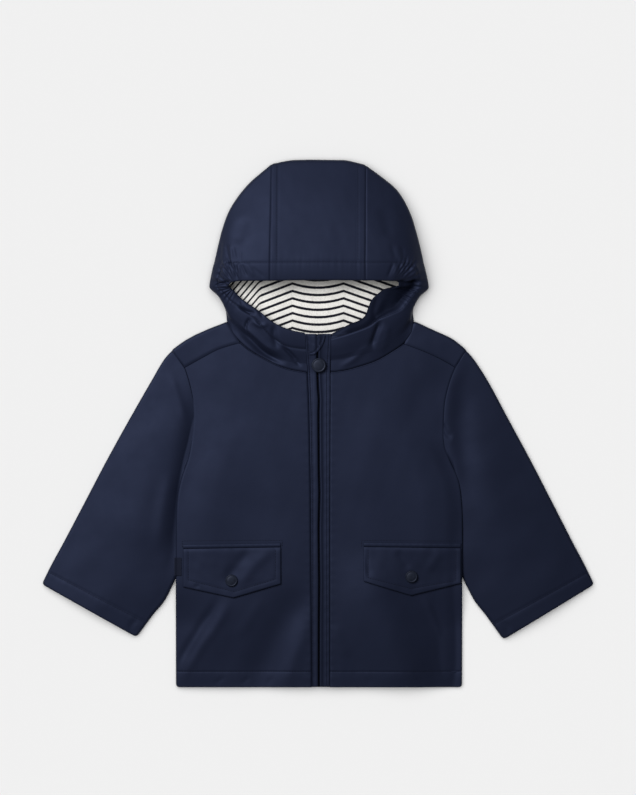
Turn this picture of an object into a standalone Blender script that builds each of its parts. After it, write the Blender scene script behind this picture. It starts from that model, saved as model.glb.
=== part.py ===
"""Kids raincoat with a lined hood, laid flat on its back with the hood's crown folded forward.

Tables and sizes are in millimetres. The coat lies on the plane z = 0, the crown points to +Y
and the hem to -Y. Left and right are those of someone looking down on the coat.
"""
import math

import bmesh
import bpy
import numpy as np
from mathutils import Vector
from mathutils.bvhtree import BVHTree

# ---------------------------------------------------------------- driving dimensions
MM = 0.001
HEM_Y = -303.0              # hem line; the crown reaches +303
SHELL = 1.6                 # wall of the hood's outer cloth
LINING = 1.0                # wall of the hood's jersey lining
BODY_WALL = 2.0             # wall of a body or sleeve panel, with its turnings
SEAM_GAP = 0.35             # between neighbouring pieces
SIDE_GAP = 0.6              # between back and front along the side seams
GAP_LIMIT = 3.7             # largest air gap between back and front
PUFF = 2.4                  # how far the fronts stand off the back in the middle
LIFT = 5.6                  # how far the body's margin is lifted by the sleeve beneath it
LIFT_FLAT = 19.0            # width of the lifted margin
LIFT_RUN = 34.0             # distance in which it comes down again
SLEEVE_FOLD = 2.4           # half the thickness of a sleeve at its edges
SLEEVE_PUFF = 2.6           # how far a sleeve's upper layer rises in the middle
SHOULDER_FOLD = 3.0         # half the thickness at the shoulder fold
CASING_BEND = 5.0           # bend where the face casing rolls over
ROOF_BEND = 70.0            # bend of the hood's roof
ROOF_RISE = 0.075           # how far the roof bulges, as a share of its length
NAPE_BEND = 120.0           # bend of the hood's back at the nape
WELT_WALL = 2.2
WELT_RISE = 0.6             # how far the zip welts stand above the fronts
SLIT = 1.9                  # width of the slit between the welts
ZIP_TAPE = 0.8
ZIP_CHAIN = 0.8
FLAP_WALL = 1.6
STUD_WALL = 2.6

# ---------------------------------------------------------------- tables
SIDE_COLUMNS = ("y", "left", "right")
SIDES = [                   # the body's edge from the yoke seams down armhole and side seam
    (64, -153.6, 158.0), (47, -148.3, 151.5), (23, -143.3, 146.0), (8, -142.6, 145.0),
    (-10, -143.8, 144.5), (-24, -146.0, 145.5), (-42, -150.0, 151.0), (-64, -157.5, 160.6),
    (-88, -162.0, 164.4), (-120, -163.2, 165.5), (-220, -163.4, 165.7), (-303, -163.2, 165.5),
]

NAPE_SEAM = [(-70, 97.0), (-52, 95.0), (-30, 92.6), (0, 91.0), (30, 92.6), (52, 95.0), (70, 97.0)]
ARMHOLE_LEVELS = (64, 40, 16, -4, -20, -32)     # y of the points shared along the armhole seams
BODY_LEVELS = (-44, -64, -92, -124, -156, -184, -198, -212, -228, -246, -264, -284, HEM_Y)
PANEL_STEPS = (0, 8, 19, 30, 42, 56)            # distances of points from the side edges
FRONT_STEPS = (*PANEL_STEPS, 74, 92, 112, 132)  # the same on a front, which is wider

HOOD_COLUMNS = ("edge_x", "edge_y", "edge_z", "stitch_x", "stitch_y", "stitch_z",
                "fold_x", "fold_y", "top", "low", "lap", "seam_x", "seam_y")
# Each row is one section of a hood panel: from the face edge over the casing's stitching, to the
# outer fold (from top down to low, moved on by lap) and on to the neck seam. Rows start at the
# seam of the centre panel and end at the centre front.
HOOD_LEFT = [
    (-55.2, 163.3, 34.0, -55.0, 184.6, 36.0, -53.4, 297.9, 11.0, 0.0, 0.0, -29.9, 93.7),
    (-64.4, 163.3, 33.5, -70.2, 184.6, 35.0, -75.4, 279.3, 11.5, 0.0, 0.0, -34.0, 94.2),
    (-75.9, 163.3, 32.5, -84.0, 184.6, 33.0, -92.6, 259.9, 12.0, 0.0, 0.0, -38.0, 94.8),
    (-86.3, 163.3, 31.0, -96.6, 184.4, 30.0, -104.1, 239.8, 12.5, 0.0, 0.0, -42.0, 95.3),
    (-94.3, 162.7, 29.0, -106.5, 183.0, 26.5, -113.3, 211.0, 13.0, 0.0, 0.0, -46.0, 96.0),
    (-99.5, 161.6, 27.0, -112.0, 177.0, 23.5, -119.5, 184.0, 13.0, 0.0, 0.0, -50.0, 96.7),
    (-101.8, 159.3, 24.0, -115.0, 167.5, 20.5, -123.1, 169.6, 12.0, 0.0, 0.0, -54.5, 97.7),
    (-102.4, 157.0, 20.0, -116.0, 157.6, 17.5, -125.0, 157.4, 10.5, 0.0, 0.0, -60.0, 98.9),
    (-99.5, 154.8, 16.0, -108.5, 149.8, 16.0, -114.0, 145.5, 11.0, 0.0, 0.0, -76.0, 103.4),
    (-95.5, 151.8, 14.5, -101.0, 141.5, 15.5, -105.5, 131.0, 10.5, 3.0, 3.0, -104.6, 116.2),
    (-89.7, 145.5, 14.0, -94.3, 136.6, 15.5, -101.0, 124.0, 10.5, 6.5, 6.0, -97.4, 103.6),
    (-84.0, 140.9, 15.0, -87.3, 131.6, 16.5, -91.5, 115.9, 12.0, 9.5, 7.0, -89.2, 93.7),
    (-66.9, 128.8, 16.5, -71.3, 119.3, 17.0, -75.3, 101.9, 12.5, 10.5, 7.0, -77.5, 84.1),
    (-50.9, 116.0, 17.0, -54.2, 100.6, 15.5, -55.2, 86.7, 11.5, 9.5, 6.0, -54.2, 71.3),
    (-32.2, 107.5, 16.5, -34.0, 88.1, 13.0, -34.7, 76.3, 10.0, 8.5, 5.0, -35.0, 63.4),
    (-15.0, 104.1, 15.0, -14.0, 85.3, 12.0, -13.2, 73.9, 9.5, 8.0, 5.0, -12.3, 59.2),
]
HOOD_RIGHT = [
    (54.6, 163.6, 34.0, 54.4, 184.6, 36.0, 55.2, 296.7, 11.0, 0.0, 0.0, 29.9, 93.7),
    (64.4, 163.6, 33.5, 70.2, 184.6, 35.0, 74.2, 282.6, 11.5, 0.0, 0.0, 34.0, 94.2),
    (74.8, 163.5, 32.5, 84.0, 184.6, 33.0, 92.0, 266.5, 12.0, 0.0, 0.0, 38.0, 94.8),
    (84.0, 163.0, 31.0, 96.6, 184.4, 30.0, 106.0, 242.1, 12.5, 0.0, 0.0, 42.0, 95.3),
    (91.0, 162.2, 29.0, 106.5, 183.0, 26.5, 115.4, 211.0, 13.0, 0.0, 0.0, 46.0, 96.0),
    (95.5, 161.0, 27.0, 112.5, 177.0, 23.5, 121.6, 184.0, 13.0, 0.0, 0.0, 50.0, 96.7),
    (97.0, 159.0, 24.0, 115.5, 167.5, 20.5, 125.2, 169.6, 12.0, 0.0, 0.0, 54.5, 97.7),
    (95.5, 157.0, 19.5, 117.0, 157.0, 17.5, 127.4, 156.6, 10.5, 0.0, 0.0, 60.0, 98.9),
    (88.6, 156.0, 14.5, 109.5, 148.5, 16.5, 117.0, 145.5, 11.0, 0.0, 0.0, 78.0, 104.0),
    (79.4, 154.3, 11.5, 101.5, 138.3, 17.0, 108.5, 131.0, 11.5, 3.0, 3.0, 110.4, 115.6),
    (70.2, 149.7, 9.5, 94.5, 130.5, 17.5, 104.4, 121.0, 12.0, 7.0, 6.0, 106.8, 104.0),
    (62.6, 142.2, 9.0, 82.8, 125.4, 18.5, 93.2, 108.7, 13.0, 10.0, 7.0, 98.3, 92.4),
    (59.0, 133.0, 9.0, 70.7, 120.2, 19.0, 79.4, 99.3, 13.5, 11.0, 7.0, 85.1, 83.0),
    (56.4, 123.8, 9.0, 59.2, 112.6, 19.0, 63.4, 90.3, 13.0, 10.5, 7.0, 66.7, 72.6),
    (49.5, 117.2, 9.0, 45.4, 107.2, 18.5, 46.0, 84.5, 12.0, 9.5, 6.0, 46.0, 65.6),
    (35.7, 112.4, 9.0, 31.0, 102.6, 17.0, 31.0, 80.2, 11.0, 8.5, 5.0, 31.0, 61.6),
    (18.6, 107.4, 8.5, 17.0, 99.2, 15.0, 16.0, 77.9, 10.0, 8.0, 5.0, 14.7, 59.6),
]
CENTRE_MID = [              # the centre panel's sections between its two seams
    (-28.0, 163.8, 34.6, -28.0, 184.7, 36.6, -28.0, 302.9, 10.6, 0.0, 0.0, -14.0, 92.4),
    (0.4, 164.0, 35.0, 0.4, 184.8, 37.0, 0.4, 303.0, 10.5, 0.0, 0.0, 0.4, 92.0),
    (28.5, 163.8, 34.6, 28.5, 184.7, 36.6, 28.5, 302.8, 10.6, 0.0, 0.0, 14.5, 92.4),
]
NAPE_PULL = [               # how far the first rows' backs are drawn (inwards, up); none from row 9
    (9.0, 0.0), (7.0, 4.0), (6.0, 9.0), (8.0, 14.0), (10.0, 20.0), (12.0, 24.0), (12.0, 24.0),
    (10.0, 20.0), (6.0, 14.0), (0.0, 0.0),
]
NECK_ROW = 11               # the first section whose neck seam lies on a front panel
CASING_COLUMNS = 3          # a section's points up to here lie on the casing
ROOF_PLACES = np.concatenate([[0, 1, 2], np.linspace(2.4, 6.9, 15), [7.4]])    # sections made
CORNER_PLACES = (8.0, 8.6, 9.1, 9.7, 10.4, 11.2)    # the same round the corner of the face opening
LINING_ROWS = [0, 1, 2, *range(3, 19, 2), 18]       # those of ROOF_PLACES that the lining has

# Elastic gathers of the casing: (row of the hood table, width in rows, rise).
GATHERS = {
    "left": [(2.7, 0.3, 1.0), (3.3, 0.25, -0.5), (3.9, 0.3, 1.3), (4.5, 0.25, -0.6),
             (5.1, 0.3, 1.3), (5.7, 0.25, -0.6), (6.3, 0.3, 1.1)],
    "right": [(2.7, 0.3, 0.9), (3.3, 0.25, -0.5), (3.9, 0.3, 1.3), (4.5, 0.25, -0.7),
              (5.1, 0.3, 1.3), (5.7, 0.25, -0.6), (6.3, 0.3, 1.3)],
}

# Soft folds: (x0, y0, x1, y1, width, rise), where a negative rise is a valley.
BODY_FOLDS = [
    (-124, -205, -160, -268, 8, -1.6), (-108, -210, -155, -283, 8, 0.8),
    (-114, -240, -146, -283, 7, -1.3), (-41, -212, -60, -268, 9, -1.2),
    (-23, -216, -48, -274, 9, 0.8), (127, -205, 156, -262, 8, -1.6),
    (106, -216, 140, -280, 9, 0.8), (19, -232, 35, -268, 8, 0.7),
    (-122, 60, -92, -18, 16, -0.9), (128, 58, 98, -20, 16, -0.9),
    (-60, 30, -40, -110, 20, 0.6), (62, 28, 40, -112, 20, 0.6),
]
SLEEVE_FOLDS = {
    "left": [(-167, 56, -148, -30, 6, 1.4), (-157, -6, -170, -72, 9, -1.9),
             (-170, -72, -182, -150, 14, -1.2), (-206, 0, -262, -150, 22, 0.6),
             (-205, -222, -222, -204, 6, -0.9), (-184, 40, -205, -30, 14, -0.7)],
    "right": [(172, 60, 150, -6, 6, 1.4), (160, -10, 172, -74, 9, -1.9),
              (172, -74, 184, -152, 14, -1.2), (208, 0, 264, -150, 22, 0.6),
              (212, -226, 230, -206, 6, -0.9), (187, 40, 207, -30, 14, -0.7)],
}

# Sections of a sleeve from the armhole to the cuff: (over_x, over_y, under_x, under_y).
SLEEVES = {
    "left": [(-167.6, 84.2, -150.7, -44.0), (-178.0, 72.6, -152.6, -50.0),
             (-193.2, 46.5, -154.0, -58.0), (-217.4, 4.0, -154.2, -74.0),
             (-242.7, -42.0, -153.2, -102.0), (-266.8, -88.0, -155.5, -150.0),
             (-291.0, -134.0, -172.5, -197.0), (-306.5, -162.5, -190.5, -221.0),
             (-317.4, -184.6, -208.6, -245.6)],
    "right": [(170.4, 84.2, 151.8, -44.0), (180.5, 72.6, 154.8, -50.0),
              (197.0, 46.5, 156.8, -58.0), (219.6, 4.0, 157.0, -74.0),
              (244.3, -42.0, 155.6, -102.0), (268.0, -88.0, 158.0, -150.0),
              (291.5, -134.0, 176.0, -197.0), (306.8, -163.0, 194.5, -222.5),
              (317.4, -185.0, 213.0, -248.4)],
}
SLEEVE_PLACES = (0, 0.5, 1, 1.6, 2.2, 2.8, 3.5, 4.2, 5, 5.6, 6.2, 6.8, 7.4, 8)  # sections made

YOKE_COLUMNS = ("seam_x", "seam_y", "fold_x", "fold_y", "low_x", "low_y")
YOKES = {                   # sections of a yoke from the neck to the armhole
    "left": [(-90.2, 93.0, -107.8, 114.2, -91.0, 100.5), (-114.0, 85.6, -130.0, 104.9, -119.0, 80.0),
             (-134.0, 75.2, -150.5, 95.6, -139.0, 70.0), (-153.4, 64.4, -167.0, 83.6, -152.4, 63.0)],
    "right": [(99.2, 91.6, 113.4, 113.4, 95.5, 99.0), (120.0, 83.8, 134.5, 104.6, 122.0, 80.0),
              (140.0, 74.8, 155.0, 95.6, 143.0, 70.0), (157.8, 64.6, 169.8, 83.6, 156.8, 63.0)],
}
YOKE_PLACES = np.linspace(0, 3, 8)  # sections made

WELT_COLUMNS = ("y", "left", "slit", "right", "height")
WELTS = [                   # outer edges and slit of the zip welts, with the height on the collar
    (103, -14.4, -0.8, 17.0, 14.5), (86, -13.6, -0.7, 14.9, 12.0), (73, -12.7, -0.6, 14.2, 9.5),
    (59, -11.8, -0.6, 13.9, 7.4), (40, -11.0, 0.2, 13.9, 7.2), (27, -10.4, 1.2, 13.9, 7.2),
    (12, -10.0, 0.7, 13.7, 7.2), (-50, -8.8, 1.1, 13.4, 7.2), (-80, -8.4, 1.8, 13.3, 7.2),
    (-120, -8.2, 0.9, 13.2, 7.2), (-180, -7.8, 1.6, 13.2, 7.2), (-230, -7.4, 1.2, 13.2, 7.2),
    (-302.6, -7.0, 1.1, 13.2, 7.2),
]
COLLAR_Y = 58               # above this the welts stand on the collar, below on the fronts
WELT_LEVELS = (79, 71, 63, 55, 46, 34, 22, 8, -12, -40, -66, -92, -120, -150, -180, -206, -230,
               -250, -270, -288)
# Where along its width a welt has points, and how far it stands up there.
WELT_PROFILE = {"left": [(0.0, 0.1), (0.25, 1.0), (0.8, 1.0), (1.0, 0.35)],
                "right": [(0.0, 0.5), (0.15, 1.0), (0.7, 0.8), (1.0, 0.1)]}
ZIP_PROFILE = [(-12.0, 0.0), (-2.4, 0.0), (-2.0, ZIP_CHAIN), (2.0, ZIP_CHAIN), (2.4, 0.0), (12.0, 0.0)]

POCKET_COLUMNS = ("x", "strip_y", "top_y", "low_y")
POCKETS = {                 # upper edge of the welt, upper and lower edge of the flap
    "left": [(-155.0, -138.8, -144.0, -187.6), (-97.0, -138.0, -143.1, -200.0),
             (-42.6, -137.0, -142.2, -184.0)],
    "right": [(52.4, -136.6, -141.7, -181.0), (107.0, -137.0, -142.5, -197.4),
              (164.2, -137.6, -143.2, -183.4)],
}

STUDS = [                   # (name, what it sits on, x, y, radius)
    ("stud_neck", "welts", 0.8, 67.0, 8.4),
    ("stud_left", "left", -99.4, -180.1, 7.0),
    ("stud_right", "right", 107.2, -175.7, 7.0),
]
STUD_PROFILE = [(0.92, 0.0), (1.0, 0.3), (0.99, 0.7), (0.9, 0.95), (0.78, 0.9), (0.45, 1.0)]
STUD_SIDES = 24
STUD_CROWN = 1.02           # height of the cap's middle, as a share of STUD_WALL
# The chin guard's sections: (left x, y, right x). The tag: outer x, inner x, upper y, lower y.
CHIN_GUARD = [(-11.4, 101.0, 8.6), (-11.2, 92.0, 6.4), (-10.6, 84.5, 1.6), (-9.9, 78.6, -4.4)]
TAG = (-165.0, -157.0, -154.0, -174.4)

NAVY = (0.017, 0.022, 0.045)
NAVY_DARK = (0.013, 0.017, 0.034)
STRIPED = (0.62, 0.60, 0.56)
STUD_COLOUR = (0.012, 0.014, 0.022)


# ---------------------------------------------------------------- shape helpers
def smooth(t):
    """Ease from 0 to 1 as t goes from 0 to 1."""
    t = np.clip(t, 0.0, 1.0)
    return t * t * (3.0 - 2.0 * t)


def slope(step_in, step_out):
    """Slope at a row between two steps, held small enough for the curve not to overshoot."""
    limit = 2.0 * np.minimum(np.abs(step_in), np.abs(step_out))
    mean = (step_in + step_out) / 2.0
    same_way = step_in * step_out > 0
    return np.where(same_way, np.sign(mean) * np.minimum(np.abs(mean), limit), 0.0)


def spline(rows, places):
    """Read a smooth curve through the rows at the given row numbers."""
    rows = np.asarray(rows, float)
    last = len(rows) - 1
    places = np.clip(np.asarray(places, float), 0.0, last)
    first = np.minimum(places.astype(int), last - 1)
    t = (places - first)[:, None]
    before, here = rows[np.maximum(first - 1, 0)], rows[first]
    after, beyond = rows[first + 1], rows[np.minimum(first + 2, last)]
    start, end = slope(here - before, after - here), slope(after - here, beyond - after)
    return ((2 * t**3 - 3 * t**2 + 1) * here + (t**3 - 2 * t**2 + t) * start
            + (3 * t**2 - 2 * t**3) * after + (t**3 - t**2) * end)


def bend(points, radii, runs, arcs):
    """Walk along points with round corners, in the given steps of each run and each corner."""
    points = [Vector(p) for p in points]
    walk, start = [], points[0]
    for k, (radius, arc_steps) in enumerate(zip(radii, arcs), start=1):
        into, out = points[k] - points[k - 1], points[k + 1] - points[k]
        reach = 0.499 * min(into.length, out.length)
        into.normalize()
        out.normalize()
        angle = max(into.angle(out), 1e-3)
        reach = min(reach, radius * math.tan(angle / 2.0))
        begin = points[k] - into * reach
        walk += [start.lerp(begin, i / runs[k - 1]) for i in range(runs[k - 1])]
        side = (out - into * math.cos(angle)).normalized()
        turn = reach / math.tan(angle / 2.0)
        for i in range(arc_steps):
            part = angle * i / arc_steps
            walk.append(begin + into * (turn * math.sin(part)) + side * (turn * (1 - math.cos(part))))
        start = points[k] + out * reach
    walk += [start.lerp(points[-1], i / runs[-1]) for i in range(runs[-1] + 1)]
    return [tuple(p) for p in walk]


def normals(grid):
    """Unit normals of a grid of points."""
    along = np.gradient(grid, axis=0)
    across = np.gradient(grid, axis=1)
    across_length = np.linalg.norm(across, axis=2, keepdims=True)
    out = np.cross(along, across / np.maximum(across_length, 1e-9))
    return out / np.maximum(np.linalg.norm(out, axis=2, keepdims=True), 1e-9)


def material(name, colour, roughness, metallic=0.0):
    """Make a plain Principled BSDF material."""
    made = bpy.data.materials.new(name)
    made.use_nodes = True
    shader = made.node_tree.nodes["Principled BSDF"]
    shader.inputs["Base Color"].default_value = (*colour, 1.0)
    shader.inputs["Roughness"].default_value = roughness
    shader.inputs["Metallic"].default_value = metallic
    return made


def add_object(name, mesh_data, colour, roughness=0.5):
    """Add one closed piece, given as points and faces in millimetres."""
    points, faces = mesh_data
    mesh = bpy.data.meshes.new(name)
    mesh.from_pydata([tuple(c * MM for c in p) for p in points], [], faces)
    shape = bmesh.new()
    shape.from_mesh(mesh)
    bmesh.ops.recalc_face_normals(shape, faces=shape.faces)
    shape.to_mesh(mesh)
    shape.free()
    mesh.shade_smooth()
    mesh.set_sharp_from_angle(angle=math.radians(40.0))
    mesh.materials.append(material(name, colour, roughness))
    made = bpy.data.objects.new(name, mesh)
    bpy.context.scene.collection.objects.link(made)
    return made


def wall(outer, inner, tube=False):
    """Join two grids of like size into one closed wall; a tube closes round its second axis."""
    rows, columns = outer.shape[:2]
    points = [tuple(p) for p in outer.reshape(-1, 3)] + [tuple(p) for p in inner.reshape(-1, 3)]
    shift = rows * columns

    def at(i, j):
        return i * columns + j % columns

    faces = []
    for i in range(rows - 1):
        for j in range(columns if tube else columns - 1):
            quad = [at(i, j), at(i + 1, j), at(i + 1, j + 1), at(i, j + 1)]
            faces.append(quad)
            faces.append([k + shift for k in reversed(quad)])
    if tube:
        rims = [[at(i, j) for j in range(columns + 1)] for i in (0, rows - 1)]
    else:
        rim = [at(0, j) for j in range(columns)]
        rim += [at(i, columns - 1) for i in range(1, rows)]
        rim += [at(rows - 1, j) for j in range(columns - 2, -1, -1)]
        rim += [at(i, 0) for i in range(rows - 2, -1, -1)]
        rims = [rim]
    for rim in rims:
        faces += [[a, b, b + shift, a + shift] for a, b in zip(rim, rim[1:])]
    return points, faces


def crease_height(creases, x, y):
    """Height of a table of straight folds at x, y; each fades out towards its ends."""
    total = np.zeros_like(x)
    for x0, y0, x1, y1, width, rise in creases:
        length = math.hypot(x1 - x0, y1 - y0)
        ax, ay = (x1 - x0) / length, (y1 - y0) / length
        along = (x - x0) * ax + (y - y0) * ay
        across = (x - x0) * ay - (y - y0) * ax
        fade = smooth(along / (0.3 * length)) * smooth((length - along) / (0.3 * length))
        total += rise * fade * np.exp(-(across / width) ** 2)
    return total


def columns(names, table):
    """The columns of a table by their names."""
    return dict(zip(names, np.array(table, float).T))


# ---------------------------------------------------------------- body
def side_edges(y):
    """The body's left and right edge at the given y."""
    sides = columns(SIDE_COLUMNS, SIDES)
    return [np.interp(-y, -sides["y"], sides[side]) for side in ("left", "right")]


def edge_distance(x, y):
    """Distance to the nearer side edge of the body."""
    left, right = side_edges(y)
    return np.minimum(x - left, right - x)


def margin_lift(x, y):
    """How far the body is lifted off the floor by the sleeves tucked under its margins."""
    across = 1.0 - smooth((edge_distance(x, y) - LIFT_FLAT) / LIFT_RUN)
    along = smooth((-14.0 - y) / 28.0) * (1.0 - smooth((-190.0 - y) / 36.0))
    return LIFT * across * along


def front_height(x, y):
    """Upper side of the front panels."""
    hem = np.maximum(smooth((y - HEM_Y) / 70.0), np.exp(-(x / 40.0) ** 4))
    rise = smooth(edge_distance(x, y) / 46.0) * (0.35 + 0.65 * hem)
    creases = crease_height(BODY_FOLDS, x, y)
    gap = np.clip(SIDE_GAP + PUFF * rise + creases * smooth(edge_distance(x, y) / 12.0),
                  SIDE_GAP, GAP_LIMIT)
    return margin_lift(x, y) + BODY_WALL + gap + BODY_WALL


def coons(top, bottom, left, right, across, down):
    """Blend four edges, given as functions of 0 to 1, into a grid of x, y."""
    grid = np.zeros((len(down), len(across), 2))
    corners = [np.array(f(t)) for f, t in ((top, 0), (top, 1), (bottom, 0), (bottom, 1))]
    for i, v in enumerate(down):
        for j, u in enumerate(across):
            edges = ((1 - v) * np.array(top(u)) + v * np.array(bottom(u))
                     + (1 - u) * np.array(left(v)) + u * np.array(right(v)))
            mixed = ((1 - u) * (1 - v) * corners[0] + u * (1 - v) * corners[1]
                     + (1 - u) * v * corners[2] + u * v * corners[3])
            grid[i, j] = edges - mixed
    return grid


def path_by_x(points):
    """A function of 0 to 1 that runs along points in even steps of x."""
    points = np.array(points, float)
    share = (points[:, 0] - points[0, 0]) / (points[-1, 0] - points[0, 0])
    return lambda t: (np.interp(t, share, points[:, 0]), np.interp(t, share, points[:, 1]))


def path_by_y(points):
    """A function of 0 to 1 that runs along points in even steps of y."""
    points = np.array(points, float)
    share = (points[:, 1] - points[0, 1]) / (points[-1, 1] - points[0, 1])
    return lambda t: (np.interp(t, share, points[:, 0]), np.interp(t, share, points[:, 1]))


def layer(grid, upper, thickness):
    """A wall under the heights given by a function of x, y."""
    x, y = grid[..., 0], grid[..., 1]
    top = upper(x, y)
    return wall(np.dstack([x, y, top]), np.dstack([x, y, top - thickness]))


def row_levels(top_y):
    """Shares of the way from top_y to the hem at which the body panels have points."""
    levels = [top_y, *ARMHOLE_LEVELS[1:], *BODY_LEVELS]
    return [(top_y - y) / (top_y - HEM_Y) for y in levels]


def front_panel(side):
    """A front panel between yoke seam, neck seam, zip welt, hem and side seam."""
    hood = HOOD_LEFT if side == "left" else HOOD_RIGHT
    sides = columns(SIDE_COLUMNS, SIDES)
    edge = list(zip(sides[side], sides["y"]))
    yokes = columns(YOKE_COLUMNS, spline(YOKES[side], YOKE_PLACES))
    seams = list(zip(yokes["seam_x"], yokes["seam_y"] - SEAM_GAP))[::-1]
    collar = columns(HOOD_COLUMNS, spline(hood, np.linspace(NECK_ROW, len(hood) - 1, 13)))
    neck = list(zip(collar["seam_x"], collar["seam_y"] - 2 * SEAM_GAP))
    sign = -1 if side == "left" else 1
    welts = columns(WELT_COLUMNS, [row for row in WELTS if row[0] < COLLAR_Y + 2])
    welt = list(zip(welts[side] + sign * SEAM_GAP, welts["y"]))
    welt[0] = (welt[0][0], neck[-1][1])
    welt[-1] = (welt[-1][0], HEM_Y)
    top = [(edge[0][0], seams[0][1])] + seams[1:] + neck[1:-1] + [welt[0]]
    edge[0] = top[0]
    width = abs(edge[0][0] - welt[0][0])
    across = [s / width for s in (*FRONT_STEPS, width)]
    bottom = [edge[-1], welt[-1]]
    grid = coons(path_by_x(top), path_by_x(bottom), path_by_y(edge), path_by_y(welt),
                 across, row_levels(top[0][1]))
    return add_object("front_" + side, layer(grid, front_height, BODY_WALL), NAVY)


def back_height(x, y):
    """Upper side of the back panel."""
    return margin_lift(x, y) + BODY_WALL


def back_panel():
    """The back panel, flat on the floor between the sleeves' tucked edges."""
    sides = columns(SIDE_COLUMNS, SIDES)
    left, right = (list(zip(sides[side], sides["y"])) for side in ("left", "right"))
    seams = {}
    for side in ("left", "right"):
        yokes = columns(YOKE_COLUMNS, spline(YOKES[side], YOKE_PLACES))
        seams[side] = list(zip(yokes["low_x"], yokes["low_y"]))
    top = [(x, y - 2 * SEAM_GAP) for x, y in seams["left"][::-1] + NAPE_SEAM + seams["right"]]
    top[0], top[-1] = (left[0][0], top[0][1]), (right[0][0], top[-1][1])
    left[0], right[0] = top[0], top[-1]
    width = right[0][0] - left[0][0]
    inset = [*PANEL_STEPS, 80]
    across = [s / width for s in inset] + [0.5] + [1 - s / width for s in reversed(inset)]
    grid = coons(path_by_x(top), path_by_x([left[-1], right[-1]]), path_by_y(left),
                 path_by_y(right), across, row_levels(top[0][1]))
    return add_object("back", layer(grid, back_height, BODY_WALL), NAVY_DARK)


def yoke(side):
    """A yoke: from its seam on the front over the shoulder fold to its seam on the back."""
    rows = spline(YOKES[side], YOKE_PLACES)
    sections = []
    for seam_x, seam_y, fold_x, fold_y, low_x, low_y in rows:
        seam_z = float(front_height(np.array(seam_x), np.array(seam_y)))
        control = [(seam_x, seam_y, seam_z), (fold_x, fold_y, 2 * SHOULDER_FOLD),
                   (fold_x, fold_y, 0.0), (low_x, low_y, 0.0)]
        sections.append(bend(control, (SHOULDER_FOLD, SHOULDER_FOLD), (2, 0, 2), (3, 3)))
    outer = np.array(sections)
    facing = normals(outer)
    if facing[4, 1, 2] < 0:
        facing = -facing
    return add_object("yoke_" + side, wall(outer, outer - facing * BODY_WALL), NAVY)


def armhole_x(side, y):
    """The armhole seam between the shoulder fold and the underarm, as x against y."""
    sides = columns(SIDE_COLUMNS, SIDES)
    yokes = columns(YOKE_COLUMNS, YOKES[side])
    return np.interp(-y, np.append(-yokes["fold_y"][-1], -sides["y"]),
                     np.append(yokes["fold_x"][-1], sides[side]))


def sleeve(side):
    """A sleeve: a flattened tube, rolled at both edges and open at armhole and cuff."""
    sign = -1 if side == "left" else 1
    over_x, over_y, under_x, under_y = SLEEVES[side][0]
    levels = np.array([over_y, 74, *ARMHOLE_LEVELS, under_y])
    shares = (over_y - levels) / (over_y - under_y)
    straight_x = over_x + (under_x - over_x) * shares
    bows = armhole_x(side, levels) + sign * 1.5 * SEAM_GAP - straight_x
    outer, inner = [], []
    rows = spline(SLEEVES[side], SLEEVE_PLACES)
    for place, (over_x, over_y, under_x, under_y) in zip(SLEEVE_PLACES, rows):
        chord = np.array([(over_x + (under_x - over_x) * t, over_y + (under_y - over_y) * t)
                          for t in shares])
        chord[:, 0] += (1.0 - smooth(place / 4.5)) * bows
        way = (chord[-1] - chord[0]) / np.linalg.norm(chord[-1] - chord[0])
        swell = smooth(shares / 0.35) * smooth((1 - shares) / 0.45)
        x, y = chord[:, 0], chord[:, 1]
        lift = SLEEVE_PUFF * swell * (0.55 + 0.45 * smooth(place / 2.0))
        lift += crease_height(SLEEVE_FOLDS[side], x, y) * smooth(shares / 0.1) * smooth((1 - shares) / 0.12)
        lift = np.clip(lift, 0.0, GAP_LIMIT - 2 * (SLEEVE_FOLD - BODY_WALL))
        rims = []
        for depth in (0.0, BODY_WALL):
            radius = SLEEVE_FOLD - depth
            loop = [(*p, SLEEVE_FOLD + radius + h) for p, h in zip(chord[1:-1], lift[1:-1])]
            for turn in (0.0, 60.0, 120.0, 180.0):
                a = math.radians(turn)
                end = chord[-1] - way * (SLEEVE_FOLD - radius * math.sin(a))
                loop.append((*end, SLEEVE_FOLD + radius * math.cos(a)))
            loop += [(*p, SLEEVE_FOLD - radius) for p in chord[-2:0:-2]]
            for turn in (180.0, 120.0, 60.0, 0.0):
                a = math.radians(turn)
                end = chord[0] + way * (SLEEVE_FOLD - radius * math.sin(a))
                loop.append((*end, SLEEVE_FOLD + radius * math.cos(a)))
            rims.append(loop)
        outer.append(rims[0])
        inner.append(rims[1])
    return add_object("sleeve_" + side, wall(np.array(outer), np.array(inner), tube=True), NAVY)


# ---------------------------------------------------------------- hood
def section(row, pull):
    """One section of a hood panel, as points on its outer side."""
    named = dict(zip(HOOD_COLUMNS, row))
    edge = Vector((named["edge_x"], named["edge_y"], named["edge_z"]))
    stitch = Vector((named["stitch_x"], named["stitch_y"], named["stitch_z"]))
    top = Vector((named["fold_x"], named["fold_y"], named["top"]))
    seam = Vector((named["seam_x"], named["seam_y"], 0.0))
    on_front = float(smooth((named["low"] - 1.0) / 6.0))
    seam.z = on_front * float(front_height(np.array(seam.x), np.array(seam.y)))
    middle = stitch.lerp(top, 0.5)
    middle.z += ROOF_RISE * (stitch - top).length
    low = Vector((top.x, top.y, named["low"]))
    low += (seam - top).xy.normalized().to_3d() * named["lap"]
    nape = low.lerp(seam, 0.6) + Vector((*pull, 0.0))
    fold = (named["top"] - named["low"]) / 2.0
    fold += 6.0 * on_front
    return bend([edge, stitch, middle, top, low, nape, seam],
                (CASING_BEND, ROOF_BEND, fold, fold, NAPE_BEND),
                (2, 1, 1, 0, 1, 1), (2, 2, 3, 3, 1))


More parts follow.
